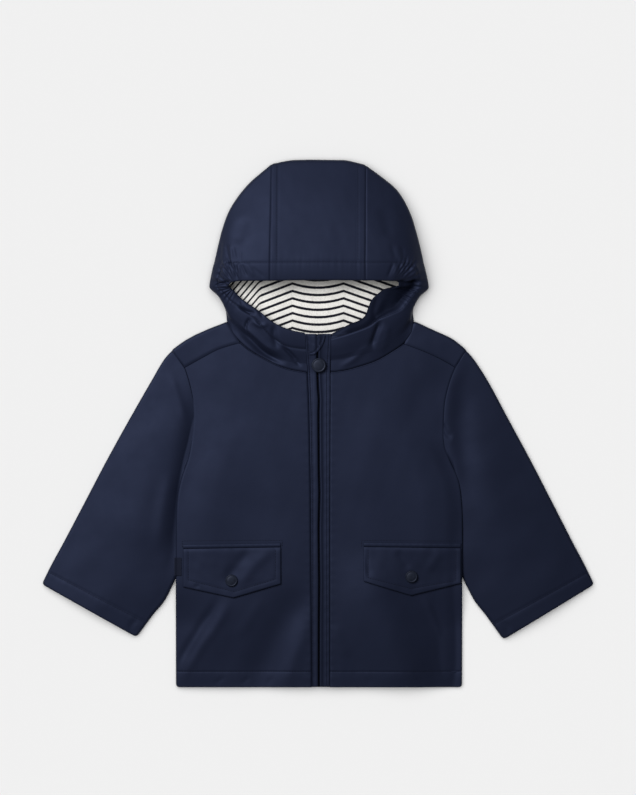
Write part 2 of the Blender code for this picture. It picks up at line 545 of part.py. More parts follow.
def hood_grid(table, places, side):
    """Outer side of a hood panel: a row of points for each place along the table."""
    sign = 1 if side == "left" else -1
    inwards, up = (np.interp(places, range(len(NAPE_PULL)), column) for column in zip(*NAPE_PULL))
    rows = spline(table, places)
    return np.array([section(row, pull) for row, pull in zip(rows, zip(sign * inwards, up))])


def gather_height(side, places):
    """Rise of the casing's gathers along the hood table."""
    rise = np.zeros(len(places))
    for row, width, height in GATHERS[side]:
        rise += height * np.exp(-((places - row) / width) ** 2)
    return rise


def facing_out(grid, seams):
    """Normals that point out of the hood, evened along the rows and in the seam planes at seams."""
    out = normals(grid)
    if out[2, 4, 2] < 0:
        out = -out
    for _ in range(3):
        out[1:-1] = (out[:-2] + 2.0 * out[1:-1] + out[2:]) / 4.0
        out /= np.linalg.norm(out, axis=2, keepdims=True)
    out[:, -3:-1] = (out[:, -3] + out[:, -2])[:, None] / 2.0      # the nape's two points share one
    out /= np.linalg.norm(out, axis=2, keepdims=True)
    for row in seams:
        out[row, :, 0] = 0.0
        out[row] /= np.linalg.norm(out[row], axis=1, keepdims=True)
    return out


def casing_wall(columns):
    """Wall thickness along a section: shell and facing on the casing, shell alone beyond."""
    casing = SHELL + SEAM_GAP + LINING
    return np.where(np.arange(columns) <= CASING_COLUMNS, casing, SHELL)[None, :, None]


def hood_side(side):
    """A side panel of the hood with its casing, and its lining as far as the opening shows it."""
    table = HOOD_LEFT if side == "left" else HOOD_RIGHT
    last = len(table) - 1
    places = np.concatenate([ROOF_PLACES, CORNER_PLACES, np.linspace(12, last, last - 11)])
    grid = hood_grid(table, places, side)
    sign = -1 if side == "left" else 1
    grid[0, :, 0] += sign * SEAM_GAP / 2.0
    out = facing_out(grid, [0])
    columns = grid.shape[1]
    reach = np.clip(1.25 - np.arange(columns) / (CASING_COLUMNS + 4.0), 0.0, 1.0)
    rise = gather_height(side, places)[:, None, None] * reach[None, :, None]
    outer = grid + out * rise
    inner = grid - out * casing_wall(columns)
    add_object("hood_side_" + side, wall(outer, inner), NAVY)
    lining = lining_wall(grid[LINING_ROWS], out[LINING_ROWS])
    add_object("hood_lining_" + side, lining, STRIPED, 0.85)


def hood_centre():
    """The centre panel of the hood, from the brim over the crown to the nape."""
    table = [HOOD_LEFT[0], *CENTRE_MID, HOOD_RIGHT[0]]
    rows = spline(table, np.linspace(0, 4, 7))
    lean, _ = NAPE_PULL[0]
    grid = np.array([section(row, (x, 0.0)) for row, x in zip(rows, np.linspace(lean, -lean, 7))])
    grid[0, :, 0] += SEAM_GAP / 2.0
    grid[-1, :, 0] -= SEAM_GAP / 2.0
    out = facing_out(grid, [0, -1])
    inner = grid - out * casing_wall(grid.shape[1])
    add_object("hood_centre", wall(grid, inner), NAVY)
    add_object("hood_lining_centre", lining_wall(grid, out), STRIPED, 0.85)


def lining_wall(grid, out):
    """The lining of a hood panel: its points moved in, from the casing to the neck seam."""
    keep = slice(CASING_COLUMNS + 2, None)
    outer = grid[:, keep] - out[:, keep] * (SHELL + SEAM_GAP)
    inner = grid[:, keep] - out[:, keep] * (SHELL + SEAM_GAP + LINING)
    return wall(outer, inner)


# ---------------------------------------------------------------- pieces on the fronts
def welt_row(y):
    """Outer edges, slit and height of the zip welts at y, and the fronts' height there."""
    welts = columns(WELT_COLUMNS, WELTS)
    left, slit, right, height = (np.interp(-y, -welts["y"], welts[name]) for name in WELT_COLUMNS[1:])
    if y < COLLAR_Y:
        height = float(front_height(np.array(slit), np.array(float(y))))
    return left, slit, right, height


def zip_welt(side):
    """A welt beside the slit, from the top of the collar to the hem."""
    grid = []
    for y in (103, 95, 87, *WELT_LEVELS, -302.6):
        left, slit, right, height = welt_row(y)
        start, end = (left, slit - SLIT / 2.0) if side == "left" else (slit + SLIT / 2.0, right)
        grid.append([(start + (end - start) * share, y, height + WELT_RISE * rise)
                     for share, rise in WELT_PROFILE[side]])
    outer = np.array(grid)
    inner = outer.copy()
    inner[..., 2] = (outer[:, :1, 2] + outer[:, -1:, 2]) / 2.0 - WELT_WALL
    return add_object("welt_" + side, wall(outer, inner), NAVY)


def zip_tape():
    """Zip tape with its chain, behind the slit of the welts."""
    top = []
    for y in (97, 88, *WELT_LEVELS, -300):
        _, slit, _, height = welt_row(y)
        base = height - WELT_WALL - SEAM_GAP - ZIP_CHAIN
        top.append([(slit + x, y, base + rise) for x, rise in ZIP_PROFILE])
    outer = np.array(top)
    inner = outer.copy()
    inner[..., 2] = outer[:, :1, 2] - ZIP_TAPE
    return add_object("zip", wall(outer, inner), STUD_COLOUR)


class Surface:
    """Looks up the upper side of pieces that others lie on."""

    def __init__(self, *pieces):
        self.trees = []
        for piece in pieces:
            corners = [v.co.copy() for v in piece.data.vertices]
            self.trees.append(BVHTree.FromPolygons(corners, [tuple(p.vertices) for p in piece.data.polygons]))

    def height(self, x, y, reach):
        """Highest point within reach of x, y."""
        best = 0.0
        for dx, dy in ((0, 0), (reach, 0), (-reach, 0), (0, reach), (0, -reach)):
            for tree in self.trees:
                hit = tree.ray_cast(Vector(((x + dx) * MM, (y + dy) * MM, 1.0)), Vector((0, 0, -1)))[0]
                if hit:
                    best = max(best, hit.z / MM)
        return best


def laid_on(surface, grid, gap, thickness, reach=1.5):
    """A wall of x, y points laid on a surface; gap may vary by point."""
    low = np.array([[surface.height(x, y, reach) for x, y in row] for row in grid]) + gap
    outer = np.dstack([grid, low + thickness])
    inner = np.dstack([grid, low])
    return wall(outer, inner)


def pocket(side, surface):
    """A pocket's welt and its pointed flap."""
    rows = columns(POCKET_COLUMNS, POCKETS[side])
    xs = np.linspace(rows["x"][0], rows["x"][-1], 13)
    strip, top, low = (np.interp(xs, rows["x"], rows[name]) for name in POCKET_COLUMNS[1:])
    welt = np.array([[(x, y + (t - y + SEAM_GAP) * s) for x, y, t in zip(xs, strip, top)]
                     for s in (0.0, 1.0)])
    add_object("pocket_welt_" + side, laid_on(surface, welt, SEAM_GAP, 1.2), NAVY)
    shares = (0.0, 0.06, 0.25, 0.45, 0.65, 0.85, 1.0)
    flap = np.array([[(x, t + (y - t) * s) for x, t, y in zip(xs, top, low)] for s in shares])
    stand = np.array([0.0, 0.15, 0.2, 0.2, 0.2, 0.35, 0.5])[:, None]
    return add_object("pocket_flap_" + side, laid_on(surface, flap, SEAM_GAP + stand, FLAP_WALL), NAVY)


def stud(name, carrier, x, y, radius):
    """A press stud's cap: a domed disc with a rolled rim."""
    seat = Surface(*carrier)
    base = max(seat.height(x + radius * 0.8 * math.cos(a), y + radius * 0.8 * math.sin(a), 1.5)
               for a in np.radians(np.arange(0, 360, 30))) + SEAM_GAP
    turns = [math.tau * k / STUD_SIDES for k in range(STUD_SIDES)]
    points = [(x, y, base)]
    for r, h in STUD_PROFILE:
        points += [(x + radius * r * math.cos(a), y + radius * r * math.sin(a), base + STUD_WALL * h)
                   for a in turns]
    points.append((x, y, base + STUD_WALL * STUD_CROWN))
    rings = [1 + k * STUD_SIDES for k in range(len(STUD_PROFILE))]
    faces = []
    for k in range(STUD_SIDES):
        after = (k + 1) % STUD_SIDES
        faces.append([0, 1 + after, 1 + k])
        faces += [[a + k, a + after, b + after, b + k] for a, b in zip(rings, rings[1:])]
        faces.append([rings[-1] + k, rings[-1] + after, len(points) - 1])
    return add_object(name, (points, faces), STUD_COLOUR, 0.35)


def chin_guard(surface):
    """The chin guard: a small curved patch over the zip's top end."""
    grid = np.array([[(x0 + (x1 - x0) * s, y) for s in (0.0, 0.33, 0.67, 1.0)]
                     for x0, y, x1 in spline(CHIN_GUARD, np.linspace(0, 3, 6))])
    return add_object("chin_guard", laid_on(surface, grid, SEAM_GAP, 1.3), NAVY)


def side_tag(surface):
    """A small folded woven tag caught in the left side seam."""
    outer_x, inner_x, upper_y, lower_y = TAG
    grid = np.array([[(outer_x + (inner_x - outer_x) * s, upper_y + (lower_y - upper_y) * t)
                      for s in (0.0, 0.35, 0.7, 1.0)] for t in np.linspace(0, 1, 5)])
    return add_object("side_tag", laid_on(surface, grid, SEAM_GAP, 0.8, 3.0), STUD_COLOUR, 0.8)


# ---------------------------------------------------------------- the coat
def main():
    for old in list(bpy.data.objects):
        bpy.data.objects.remove(old)
    back_panel()
    fronts = {side: front_panel(side) for side in ("left", "right")}
    for side in ("left", "right"):
        yoke(side)
        sleeve(side)
        hood_side(side)
    hood_centre()
    welts = [zip_welt(side) for side in ("left", "right")]
    zip_tape()
    chin = chin_guard(Surface(*welts))
    carriers = {side: [pocket(side, Surface(fronts[side]))] for side in ("left", "right")}
    carriers["welts"] = [*welts, chin]
    side_tag(Surface(fronts["left"]))
    for name, carrier, x, y, radius in STUDS:
        stud(name, carriers[carrier], x, y, radius)


main()
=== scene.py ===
"""Kids raincoat of coated cloth with a striped hood lining, laid flat with its crown folded forward.

Tables are in millimetres in the model's frame: +Z up, +Y from the hem to the crown. Left and
right are those of someone looking down on the coat.
"""
import math

import bmesh
import bpy
import numpy as np
from bpy.props import FloatProperty, FloatVectorProperty, PointerProperty
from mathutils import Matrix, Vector
from mathutils.bvhtree import BVHTree


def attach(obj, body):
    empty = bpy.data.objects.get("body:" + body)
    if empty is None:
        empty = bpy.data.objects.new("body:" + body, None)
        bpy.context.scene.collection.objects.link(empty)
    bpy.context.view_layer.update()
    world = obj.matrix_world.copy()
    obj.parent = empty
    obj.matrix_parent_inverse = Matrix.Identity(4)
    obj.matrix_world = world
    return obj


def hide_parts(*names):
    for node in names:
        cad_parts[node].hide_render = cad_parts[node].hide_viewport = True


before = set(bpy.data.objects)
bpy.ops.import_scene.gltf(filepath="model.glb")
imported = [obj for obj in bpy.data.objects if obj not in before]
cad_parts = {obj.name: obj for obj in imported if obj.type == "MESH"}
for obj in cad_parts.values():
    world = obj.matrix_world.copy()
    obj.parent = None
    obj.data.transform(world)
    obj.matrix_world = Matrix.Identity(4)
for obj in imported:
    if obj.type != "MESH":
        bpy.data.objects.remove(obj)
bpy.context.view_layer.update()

bl_info = {
    "name": "Kids Raincoat",
    "version": (1, 0, 0),
    "blender": (4, 5, 0),
    "location": "3D View > Sidebar > Raincoat",
    "description": "Cuts, sews and lays out a child's hooded raincoat",
    "category": "Add Mesh",
}

# ---------------------------------------------------------------- pattern tables
MM = 0.001
HEM_Y = -303.0              # hem line
HEM_STITCH_Y = -285.0       # the hem's stitching
CUFF_STITCH = 15.8          # from a cuff's edge to its stitching
TURNING = 0.5               # what the turned cloth of a hem or a cuff adds to its thickness
CORNER = 3.4                # rounding of the corners of hem and cuffs
SHELL = 1.6                 # room that the hood's outer cloth takes
LINING = 1.0                # room that the hood's lining takes
BODY_WALL = 2.0             # room that a body or sleeve panel takes, with its turnings
SEAM_GAP = 0.35             # between neighbouring pieces
SIDE_GAP = 0.6              # between back and front along the side seams
SIDE_EDGE = 0.35            # half the thickness of a side seam's outer edge
SIDE_BEND = 2.6             # rounding of back and fronts towards the side seams
PUFF = 2.4                  # how far the fronts stand off the back in the middle
BELLY = 3.2                 # how far they rise on top of that, away from the side seams
SAG = 1.7                   # how far the right front comes down towards its side seam
FRONT_RELIEF = (-1.4, 9.25)     # lowest and highest that folds leave a front above the back
LIFT = 5.6                  # how far the body's margin is lifted by the sleeve beneath it
LIFT_FLAT = 9.0             # width of the lifted margin
LIFT_RUN = 78.0             # distance in which it comes down again
TUCK = 0.8                  # how far a front's upper edge lies under its yoke
SLEEVE_FOLD = 2.4           # half the thickness of a sleeve at its edges
SLEEVE_PUFF = 4.0           # how far a sleeve's upper layer rises in the middle
SLEEVE_RELIEF = (-1.2, 7.4)     # lowest and highest that folds leave that layer
SHOULDER_FOLD = 3.0         # half the thickness at the shoulder fold
CASING_BEND = 5.0           # bend where the face casing rolls over
ROOF_BEND = 400.0           # bend of the hood's roof
ROOF_RISE = 0.035           # how far the roof bulges, as a share of its length
NAPE_BEND = 120.0           # bend of the hood's back at the nape
CENTRE_HALF = 54.6          # half the width of the hood's centre panel at the brim
WELT_WALL = 2.2             # room that a zip welt takes
WELT_TOP = 103.0            # upper end of the zip welts
WELT_END = -302.6           # their lower end
SLIT = 1.9                  # width of the slit between the welts
ZIP_WALL = 0.8              # room that the zip's tape takes

SIDES = [                   # y, left and right edge of the body: armhole, underarm, side seam
    (64, -153.6, 158.0), (47, -148.3, 151.5), (23, -143.3, 146.0), (8, -142.6, 145.0),
    (-10, -143.8, 144.5), (-24, -146.0, 145.5), (-42, -150.0, 151.0), (-64, -157.5, 160.6),
    (-88, -162.0, 164.4), (-120, -163.2, 165.5), (-220, -163.4, 165.7), (-303, -163.2, 165.5),
]
NAPE_SEAM = [(-70, 97.0), (-52, 95.0), (-30, 92.6), (0, 91.0), (30, 92.6), (52, 95.0), (70, 97.0)]

HOOD_COLUMNS = ("edge_x", "edge_y", "edge_z", "stitch_x", "stitch_y", "stitch_z",
                "fold_x", "fold_y", "top", "low", "lap", "seam_x", "seam_y")
# Each row is one section of a hood panel: from the face edge over the casing's stitching, to the
# outer fold (from top down to low, moved on by lap) and on to the neck seam.
HOODS = {
    "left": [
        (-55.2, 163.3, 34.0, -55.0, 184.6, 36.0, -53.4, 297.9, 11.0, 0.0, 0.0, -29.9, 93.7),
        (-64.4, 163.3, 33.5, -70.2, 184.6, 35.0, -75.4, 279.3, 11.5, 0.0, 0.0, -34.0, 94.2),
        (-75.9, 163.3, 32.5, -84.0, 184.6, 33.0, -92.6, 259.9, 12.0, 0.0, 0.0, -38.0, 94.8),
        (-86.3, 163.3, 31.0, -96.6, 184.4, 30.0, -104.1, 239.8, 12.5, 0.0, 0.0, -42.0, 95.3),
        (-94.3, 162.7, 29.0, -106.5, 183.0, 26.5, -113.3, 211.0, 13.0, 0.0, 0.0, -46.0, 96.0),
        (-99.5, 161.6, 27.0, -112.0, 177.0, 23.5, -119.5, 184.0, 13.0, 0.0, 0.0, -50.0, 96.7),
        (-101.8, 159.3, 24.0, -115.0, 167.5, 20.5, -123.1, 169.6, 12.0, 0.0, 0.0, -54.5, 97.7),
        (-102.4, 157.0, 20.0, -116.0, 157.6, 17.5, -125.0, 157.4, 10.5, 0.0, 0.0, -60.0, 98.9),
        (-99.5, 154.8, 16.0, -108.5, 149.8, 16.0, -114.0, 145.5, 11.0, 0.0, 0.0, -76.0, 103.4),
        (-95.5, 151.8, 14.5, -101.0, 141.5, 15.5, -105.5, 131.0, 10.5, 3.0, 3.0, -104.6, 116.2),
        (-89.7, 145.5, 14.0, -94.3, 136.6, 15.5, -101.0, 124.0, 10.5, 6.5, 6.0, -97.4, 103.6),
        (-84.0, 140.9, 15.0, -87.3, 131.6, 16.5, -91.5, 115.9, 12.0, 9.5, 7.0, -89.2, 93.7),
        (-66.9, 128.8, 16.5, -71.3, 119.3, 17.0, -75.3, 101.9, 12.5, 10.5, 7.0, -77.5, 84.1),
        (-50.9, 116.0, 17.0, -54.2, 100.6, 15.5, -55.2, 86.7, 11.5, 9.5, 6.0, -54.2, 71.3),
        (-32.2, 107.5, 16.5, -34.0, 88.1, 13.0, -34.7, 76.3, 10.0, 8.5, 5.0, -35.0, 63.4),
        (-15.0, 104.1, 15.0, -14.0, 85.3, 12.0, -13.2, 73.9, 9.5, 8.0, 5.0, -12.3, 59.2),
    ],
    "right": [
        (54.6, 163.6, 34.0, 54.4, 184.6, 36.0, 55.2, 296.7, 11.0, 0.0, 0.0, 29.9, 93.7),
        (64.4, 163.6, 33.5, 70.2, 184.6, 35.0, 74.2, 282.6, 11.5, 0.0, 0.0, 34.0, 94.2),
        (74.8, 163.5, 32.5, 84.0, 184.6, 33.0, 92.0, 266.5, 12.0, 0.0, 0.0, 38.0, 94.8),
        (84.0, 163.0, 31.0, 96.6, 184.4, 30.0, 106.0, 242.1, 12.5, 0.0, 0.0, 42.0, 95.3),
        (89.0, 162.6, 29.0, 106.5, 183.0, 26.5, 115.4, 211.0, 13.0, 0.0, 0.0, 46.0, 96.0),
        (92.0, 161.8, 27.0, 112.5, 177.0, 23.5, 121.6, 184.0, 13.0, 0.0, 0.0, 50.0, 96.7),
        (92.5, 160.4, 24.0, 115.5, 167.5, 20.5, 125.2, 169.6, 12.0, 0.0, 0.0, 54.5, 97.7),
        (90.5, 158.8, 19.5, 117.0, 157.0, 17.5, 127.4, 156.6, 10.5, 0.0, 0.0, 60.0, 98.9),
        (84.0, 157.2, 14.5, 109.5, 148.5, 16.5, 117.0, 145.5, 11.0, 0.0, 0.0, 78.0, 104.0),
        (76.5, 154.6, 11.5, 101.5, 138.3, 17.0, 108.5, 131.0, 11.5, 3.0, 3.0, 110.4, 115.6),
        (70.2, 149.7, 9.5, 94.5, 130.5, 17.5, 104.4, 121.0, 12.0, 7.0, 6.0, 106.8, 104.0),
        (62.6, 142.2, 9.0, 82.8, 125.4, 18.5, 93.2, 108.7, 13.0, 10.0, 7.0, 98.3, 92.4),
        (59.0, 133.0, 9.0, 70.7, 120.2, 19.0, 79.4, 99.3, 13.5, 11.0, 7.0, 85.1, 83.0),
        (56.4, 123.8, 9.0, 59.2, 112.6, 19.0, 63.4, 90.3, 13.0, 10.5, 7.0, 66.7, 72.6),
        (49.5, 117.2, 9.0, 45.4, 107.2, 18.5, 46.0, 84.5, 12.0, 9.5, 6.0, 46.0, 65.6),
        (34.5, 111.6, 9.0, 30.5, 102.2, 17.0, 30.5, 80.2, 11.0, 8.5, 5.0, 30.5, 61.6),
        (15.6, 103.6, 8.5, 15.2, 98.4, 15.0, 14.9, 77.9, 10.0, 8.0, 5.0, 14.6, 59.6),
    ],
}
CENTRE_MID = [              # the centre panel's sections between its two seams
    (-28.0, 163.8, 34.6, -28.0, 184.7, 36.6, -28.0, 302.9, 10.6, 0.0, 0.0, -14.0, 92.4),
    (0.4, 164.0, 35.0, 0.4, 184.8, 37.0, 0.4, 303.0, 10.5, 0.0, 0.0, 0.4, 92.0),
    (28.5, 163.8, 34.6, 28.5, 184.7, 36.6, 28.5, 302.8, 10.6, 0.0, 0.0, 14.5, 92.4),
]
NAPE_PULL = [               # how far the first rows' backs are drawn (inwards, up); none from row 9
    (9.0, 0.0), (7.0, 4.0), (6.0, 9.0), (8.0, 14.0), (10.0, 20.0), (12.0, 24.0), (12.0, 24.0),
    (10.0, 20.0), (6.0, 14.0), (0.0, 0.0),
]
NECK_ROW = 11               # the first section whose neck seam lies on a front panel
LINED_TO = 7.4              # the row as far as which the lining shows
REVERSE_SHARE = 0.74        # share of the right casing's width that its turned-out edge takes
CASING_SHARES = (0, 0.012, 0.03, 0.055, 0.09, 0.14, 0.21, 0.3, 0.4, 0.5, 0.6, 0.7, 0.78, 0.85, 0.91, 0.96, 1)
STITCH_POINT = len(CASING_SHARES) - 1   # which of a section's points lies at the casing's stitching
CASING_STEPS = 8                        # points between a section's face edge and the casing's stitching,
ROOF_STEPS = (8, 8, 1, 12, 16)          # from there on: both halves of the roof, fold, back and nape,
ROOF_ARCS = (6, 50, 8, 8, 8)            # and in the bends between all these
TOPSTITCH = {"left": 7.4, "right": 8.9}     # from the centre panel's seams to their stitching

# Sections of a sleeve from the armhole to the cuff: (over_x, over_y, under_x, under_y).
SLEEVES = {
    "left": [(-167.6, 84.2, -150.7, -44.0), (-178.0, 72.6, -152.6, -50.0),
             (-193.2, 46.5, -154.0, -58.0), (-217.4, 4.0, -154.2, -74.0),
             (-242.7, -42.0, -153.2, -102.0), (-266.8, -88.0, -155.5, -150.0),
             (-291.0, -134.0, -172.5, -197.0), (-306.5, -162.5, -190.5, -221.0),
             (-317.4, -184.6, -208.6, -245.6)],
    "right": [(170.4, 84.2, 151.8, -44.0), (180.5, 72.6, 154.8, -50.0),
              (197.0, 46.5, 156.8, -58.0), (219.6, 4.0, 157.0, -74.0),
              (244.3, -42.0, 155.6, -102.0), (268.0, -88.0, 158.0, -150.0),
              (291.5, -134.0, 176.0, -197.0), (306.8, -163.0, 194.5, -222.5),
              (317.4, -185.0, 213.0, -248.4)],
}
# Where a sleeve has rings of points, in sections: closer at both ends and at the cuff's stitching.
SLEEVE_RINGS = [0.0, 0.03, 0.07, 0.12, 0.19, *np.arange(0.27, 7.12, 0.075), 7.17, 7.23, 7.27, 7.31, 7.35,
                7.39, 7.43, 7.47, 7.55, 7.65, 7.75, 7.85, 7.93, 7.965, 7.985, 7.996, 8.0]
BODY_STEPS = (0, 0.25, 0.6, 1.1, 1.7, 2.4, 3.3, 4.6)    # the first points in from the body's side edges
YOKE_COLUMNS = ("seam_x", "seam_y", "fold_x", "fold_y", "low_x", "low_y")
YOKES = {                   # sections of a yoke from the neck to the armhole
    "left": [(-90.2, 93.0, -104.6, 117.2, -91.0, 100.5), (-114.0, 85.6, -129.0, 107.2, -119.0, 80.0),
             (-134.0, 75.2, -150.0, 97.2, -139.0, 70.0), (-153.4, 64.4, -168.0, 84.4, -152.4, 63.0)],
    "right": [(99.2, 91.6, 111.0, 117.4, 95.5, 99.0), (120.0, 83.8, 133.5, 107.2, 122.0, 80.0),
              (140.0, 74.8, 154.5, 97.2, 143.0, 70.0), (157.8, 64.6, 170.6, 84.4, 156.8, 63.0)],
}
WELT_COLUMNS = ("y", "left", "slit", "right", "height")
WELTS = [                   # outer edges and slit of the zip welts, with the height on the collar
    (103, -15.0, -0.8, 15.6, 14.5), (86, -14.0, -0.7, 15.0, 12.0), (73, -12.9, -0.6, 14.4, 9.7),
    (59, -11.8, -0.6, 13.9, 7.9), (40, -11.0, 0.2, 13.9, 7.2), (27, -10.4, 1.2, 13.9, 7.2),
    (12, -10.0, 0.7, 13.7, 7.2), (-50, -8.8, 1.1, 13.4, 7.2), (-80, -8.4, 1.8, 13.3, 7.2),
    (-120, -8.2, 0.9, 13.2, 7.2), (-180, -7.8, 1.6, 13.2, 7.2), (-230, -7.4, 1.2, 13.2, 7.2),
    (-302.6, -7.0, 1.1, 13.2, 7.2),
]
COLLAR_Y = 58               # above this the welts stand on the collar, below on the fronts
POCKET_COLUMNS = ("x", "strip_y", "top_y", "low_y")
POCKETS = {                 # upper edge of the welt, upper and lower edge of the flap
    "left": [(-155.0, -138.8, -144.0, -187.6), (-97.0, -138.0, -143.1, -200.0),
             (-42.6, -137.0, -142.2, -184.0)],
    "right": [(52.4, -136.6, -141.7, -181.0), (107.0, -137.0, -142.5, -197.4),
              (164.2, -137.6, -143.2, -183.4)],
}
POCKET_STITCHES = {         # the rows of stitching round a pocket's welt
    "left": [(-155.7, -142.9), (-155.7, -134.7), (-40.8, -134.2), (-40.8, -141.6)],
    "right": [(50.0, -142.0), (50.0, -134.3), (166.0, -134.9)],
}
FLAP_STITCHES = {           # the rows of stitching on the flaps
    "left": [(-149.0, -146.5), (-149.0, -179.6), (-96.3, -192.9), (-49.2, -178.8), (-48.6, -144.9)],
    "right": [(57.5, -144.2), (57.5, -177.0), (107.2, -189.3), (158.2, -180.5), (158.6, -145.3)],
}
STUDS = [                   # (node, x, y, radius)
    ("stud_neck", 0.8, 67.0, 8.4), ("stud_left", -99.4, -180.1, 7.0), ("stud_right", 107.2, -175.7, 7.0),
]
# A cap's section from the rim's underside to its middle: shares of its radius and of its height.
STUD_SECTION = [(0.9, 0.0), (0.97, 0.1), (1.0, 0.3), (0.995, 0.55), (0.96, 0.8), (0.9, 0.93), (0.84, 0.95),
                (0.79, 0.88), (0.75, 0.84), (0.7, 0.88), (0.6, 0.95), (0.45, 1.0), (0.28, 1.03), (0.1, 1.045)]
STUD_HEIGHT = 2.6           # from the rim's underside to the dome
STUD_SIDES = 56             # points round a cap
# The chin guard's sections: (left x, y, right x). The tag: outer x, inner x, upper y, lower y.
CHIN_GUARD = [(-11.4, 101.0, 8.6), (-11.2, 92.0, 6.4), (-10.6, 84.5, 1.6), (-9.9, 78.6, -4.4)]
CHIN_STITCHES = [(-8.6, 81.0), (-4.3, 82.3), (-0.6, 87.0), (3.4, 93.3), (5.6, 99.0)]
TAG = (-165.0, -157.0, -154.0, -174.4)
BARE_SEAT = 11.5            # height of a patch where no piece lies beneath it
# The stage, in metres: the floor lies just under the coat, and the camera looks straight down on it.
FLOOR_Z = -0.0003
FLOOR_HALF = 9.0
LENS, SENSOR = 250.0, 36.0  # focal length and sensor in millimetres
VIEW_Y = 0.0299             # middle of the view
VIEW_HEIGHT = 0.91425       # what the view holds from top to bottom

# Soft folds: (points along the fold, width, rise), where a negative rise is a valley.
HOOD_FOLDS = [
    ([(-112.7, 188.0), (-113.3, 165.0)], 1.8, -1.1), ([(-101.2, 189.2), (-101.8, 163.9)], 1.6, -1.0),
    ([(-93.6, 188.0), (-93.1, 163.9)], 1.4, -0.9), ([(-88.5, 184.6), (-80.5, 167.3)], 1.5, -0.8),
    ([(-77.0, 180.0), (-59.8, 166.2)], 1.8, -0.5), ([(-106.9, 189.2), (-107.5, 163.9)], 2.4, 0.9),
    ([(-97.4, 186.9), (-97.2, 163.9)], 1.6, 0.6), ([(-91.1, 186.9), (-89.1, 162.7)], 1.4, 0.6),
    ([(-82.8, 185.7), (-72.4, 166.2)], 2.2, 0.5), ([(-119.0, 185.7), (-119.6, 162.7)], 2.4, 0.7),
    ([(-105.8, 207.6), (-102.3, 184.6)], 2.2, -0.7), ([(-97.7, 204.1), (-93.7, 184.6)], 1.9, -0.6),
    ([(-88.5, 199.5), (-89.1, 183.4)], 1.8, -0.5), ([(-111.5, 211.0), (-112.7, 186.9)], 2.2, -0.6),
    ([(-101.2, 207.6), (-98.3, 185.7)], 2.2, 0.5), ([(-82.0, 237.5), (-94.3, 204.1)], 7, -1.1),
    ([(87.1, 185.7), (79.3, 166.2)], 1.8, -0.8), ([(92.6, 184.6), (95.4, 166.2)], 1.5, -0.8),
    ([(101.2, 184.6), (97.7, 165.0)], 1.5, -0.9), ([(105.2, 184.6), (103.5, 165.0)], 1.4, -0.8),
    ([(112.1, 184.6), (111.0, 161.6)], 4.0, 1.0), ([(89.7, 184.6), (88.0, 166.2)], 2.0, 0.5),
    ([(97.7, 185.7), (96.6, 175.4)], 1.6, 0.5), ([(95.4, 165.0), (98.3, 158.1)], 2.2, -1.2),
    ([(82.8, 206.4), (89.7, 185.7)], 2.4, -0.4), ([(95.4, 204.1), (100.0, 184.6)], 2.4, -0.5),
    ([(89.7, 206.4), (94.9, 185.7)], 2.4, 0.3), ([(77.0, 251.3), (81.6, 209.9)], 8, -0.8),
    ([(-89.7, 142.0), (-82.8, 128.2)], 1.6, -0.9), ([(-70.1, 132.8), (-62.1, 120.2)], 1.6, -0.9),
    ([(-98.9, 153.5), (-105.8, 138.6)], 1.6, -0.6),
    ([(-98.0, 163.0), (-108.0, 161.0), (-121.0, 157.5)], 1.6, -2.6),
    ([(82.0, 162.5), (98.0, 161.5), (120.0, 160.0)], 1.6, -2.6),
    ([(-96.0, 113.0), (-86.0, 103.0), (-75.9, 93.5), (-64.4, 82.5), (-52.9, 75.6), (-34.0, 69.5)], 4.0, -5.0),
    ([(-90.0, 116.0), (-72.0, 100.5), (-58.0, 88.5), (-42.0, 80.5)], 3.6, 1.9),
    ([(-93.0, 136.0), (-82.0, 129.0), (-70.0, 126.0)], 1.8, -2.6),
    ([(-77.0, 122.0), (-83.0, 112.0), (-82.0, 106.0)], 1.5, -1.8),
    ([(-76.0, 119.0), (-66.0, 112.0), (-55.0, 115.0)], 2.2, 1.3),
    ([(-50.0, 116.0), (-50.5, 101.0), (-45.0, 84.0)], 3.5, -1.9),
    ([(-42.0, 90.0), (-30.0, 78.0), (-19.0, 64.0)], 2.2, -2.6),
    ([(70.1, 147.8), (65.5, 132.8), (61.6, 117.9)], 2.4, -1.3),
    ([(88.0, 150.0), (80.0, 139.0), (70.0, 128.0)], 2.0, -1.3),
    ([(100.0, 152.0), (92.0, 143.0), (84.0, 135.0)], 1.8, -1.1),
    ([(73.0, 121.0), (66.5, 103.0), (60.0, 84.0)], 3.2, -2.9),
    ([(59.8, 91.4), (41.4, 74.2), (21.8, 63.2)], 3.5, 0.9),
    ([(80.2, 116.7), (78.0, 98.3), (70.5, 79.9)], 4.5, 0.9),
]
LINING_FOLDS = [([(-68.0, 163.0), (-62.7, 125.0)], 3.0, -1.4), ([(0.8, 157.0), (-8.0, 135.0)], 2.0, -0.9)]
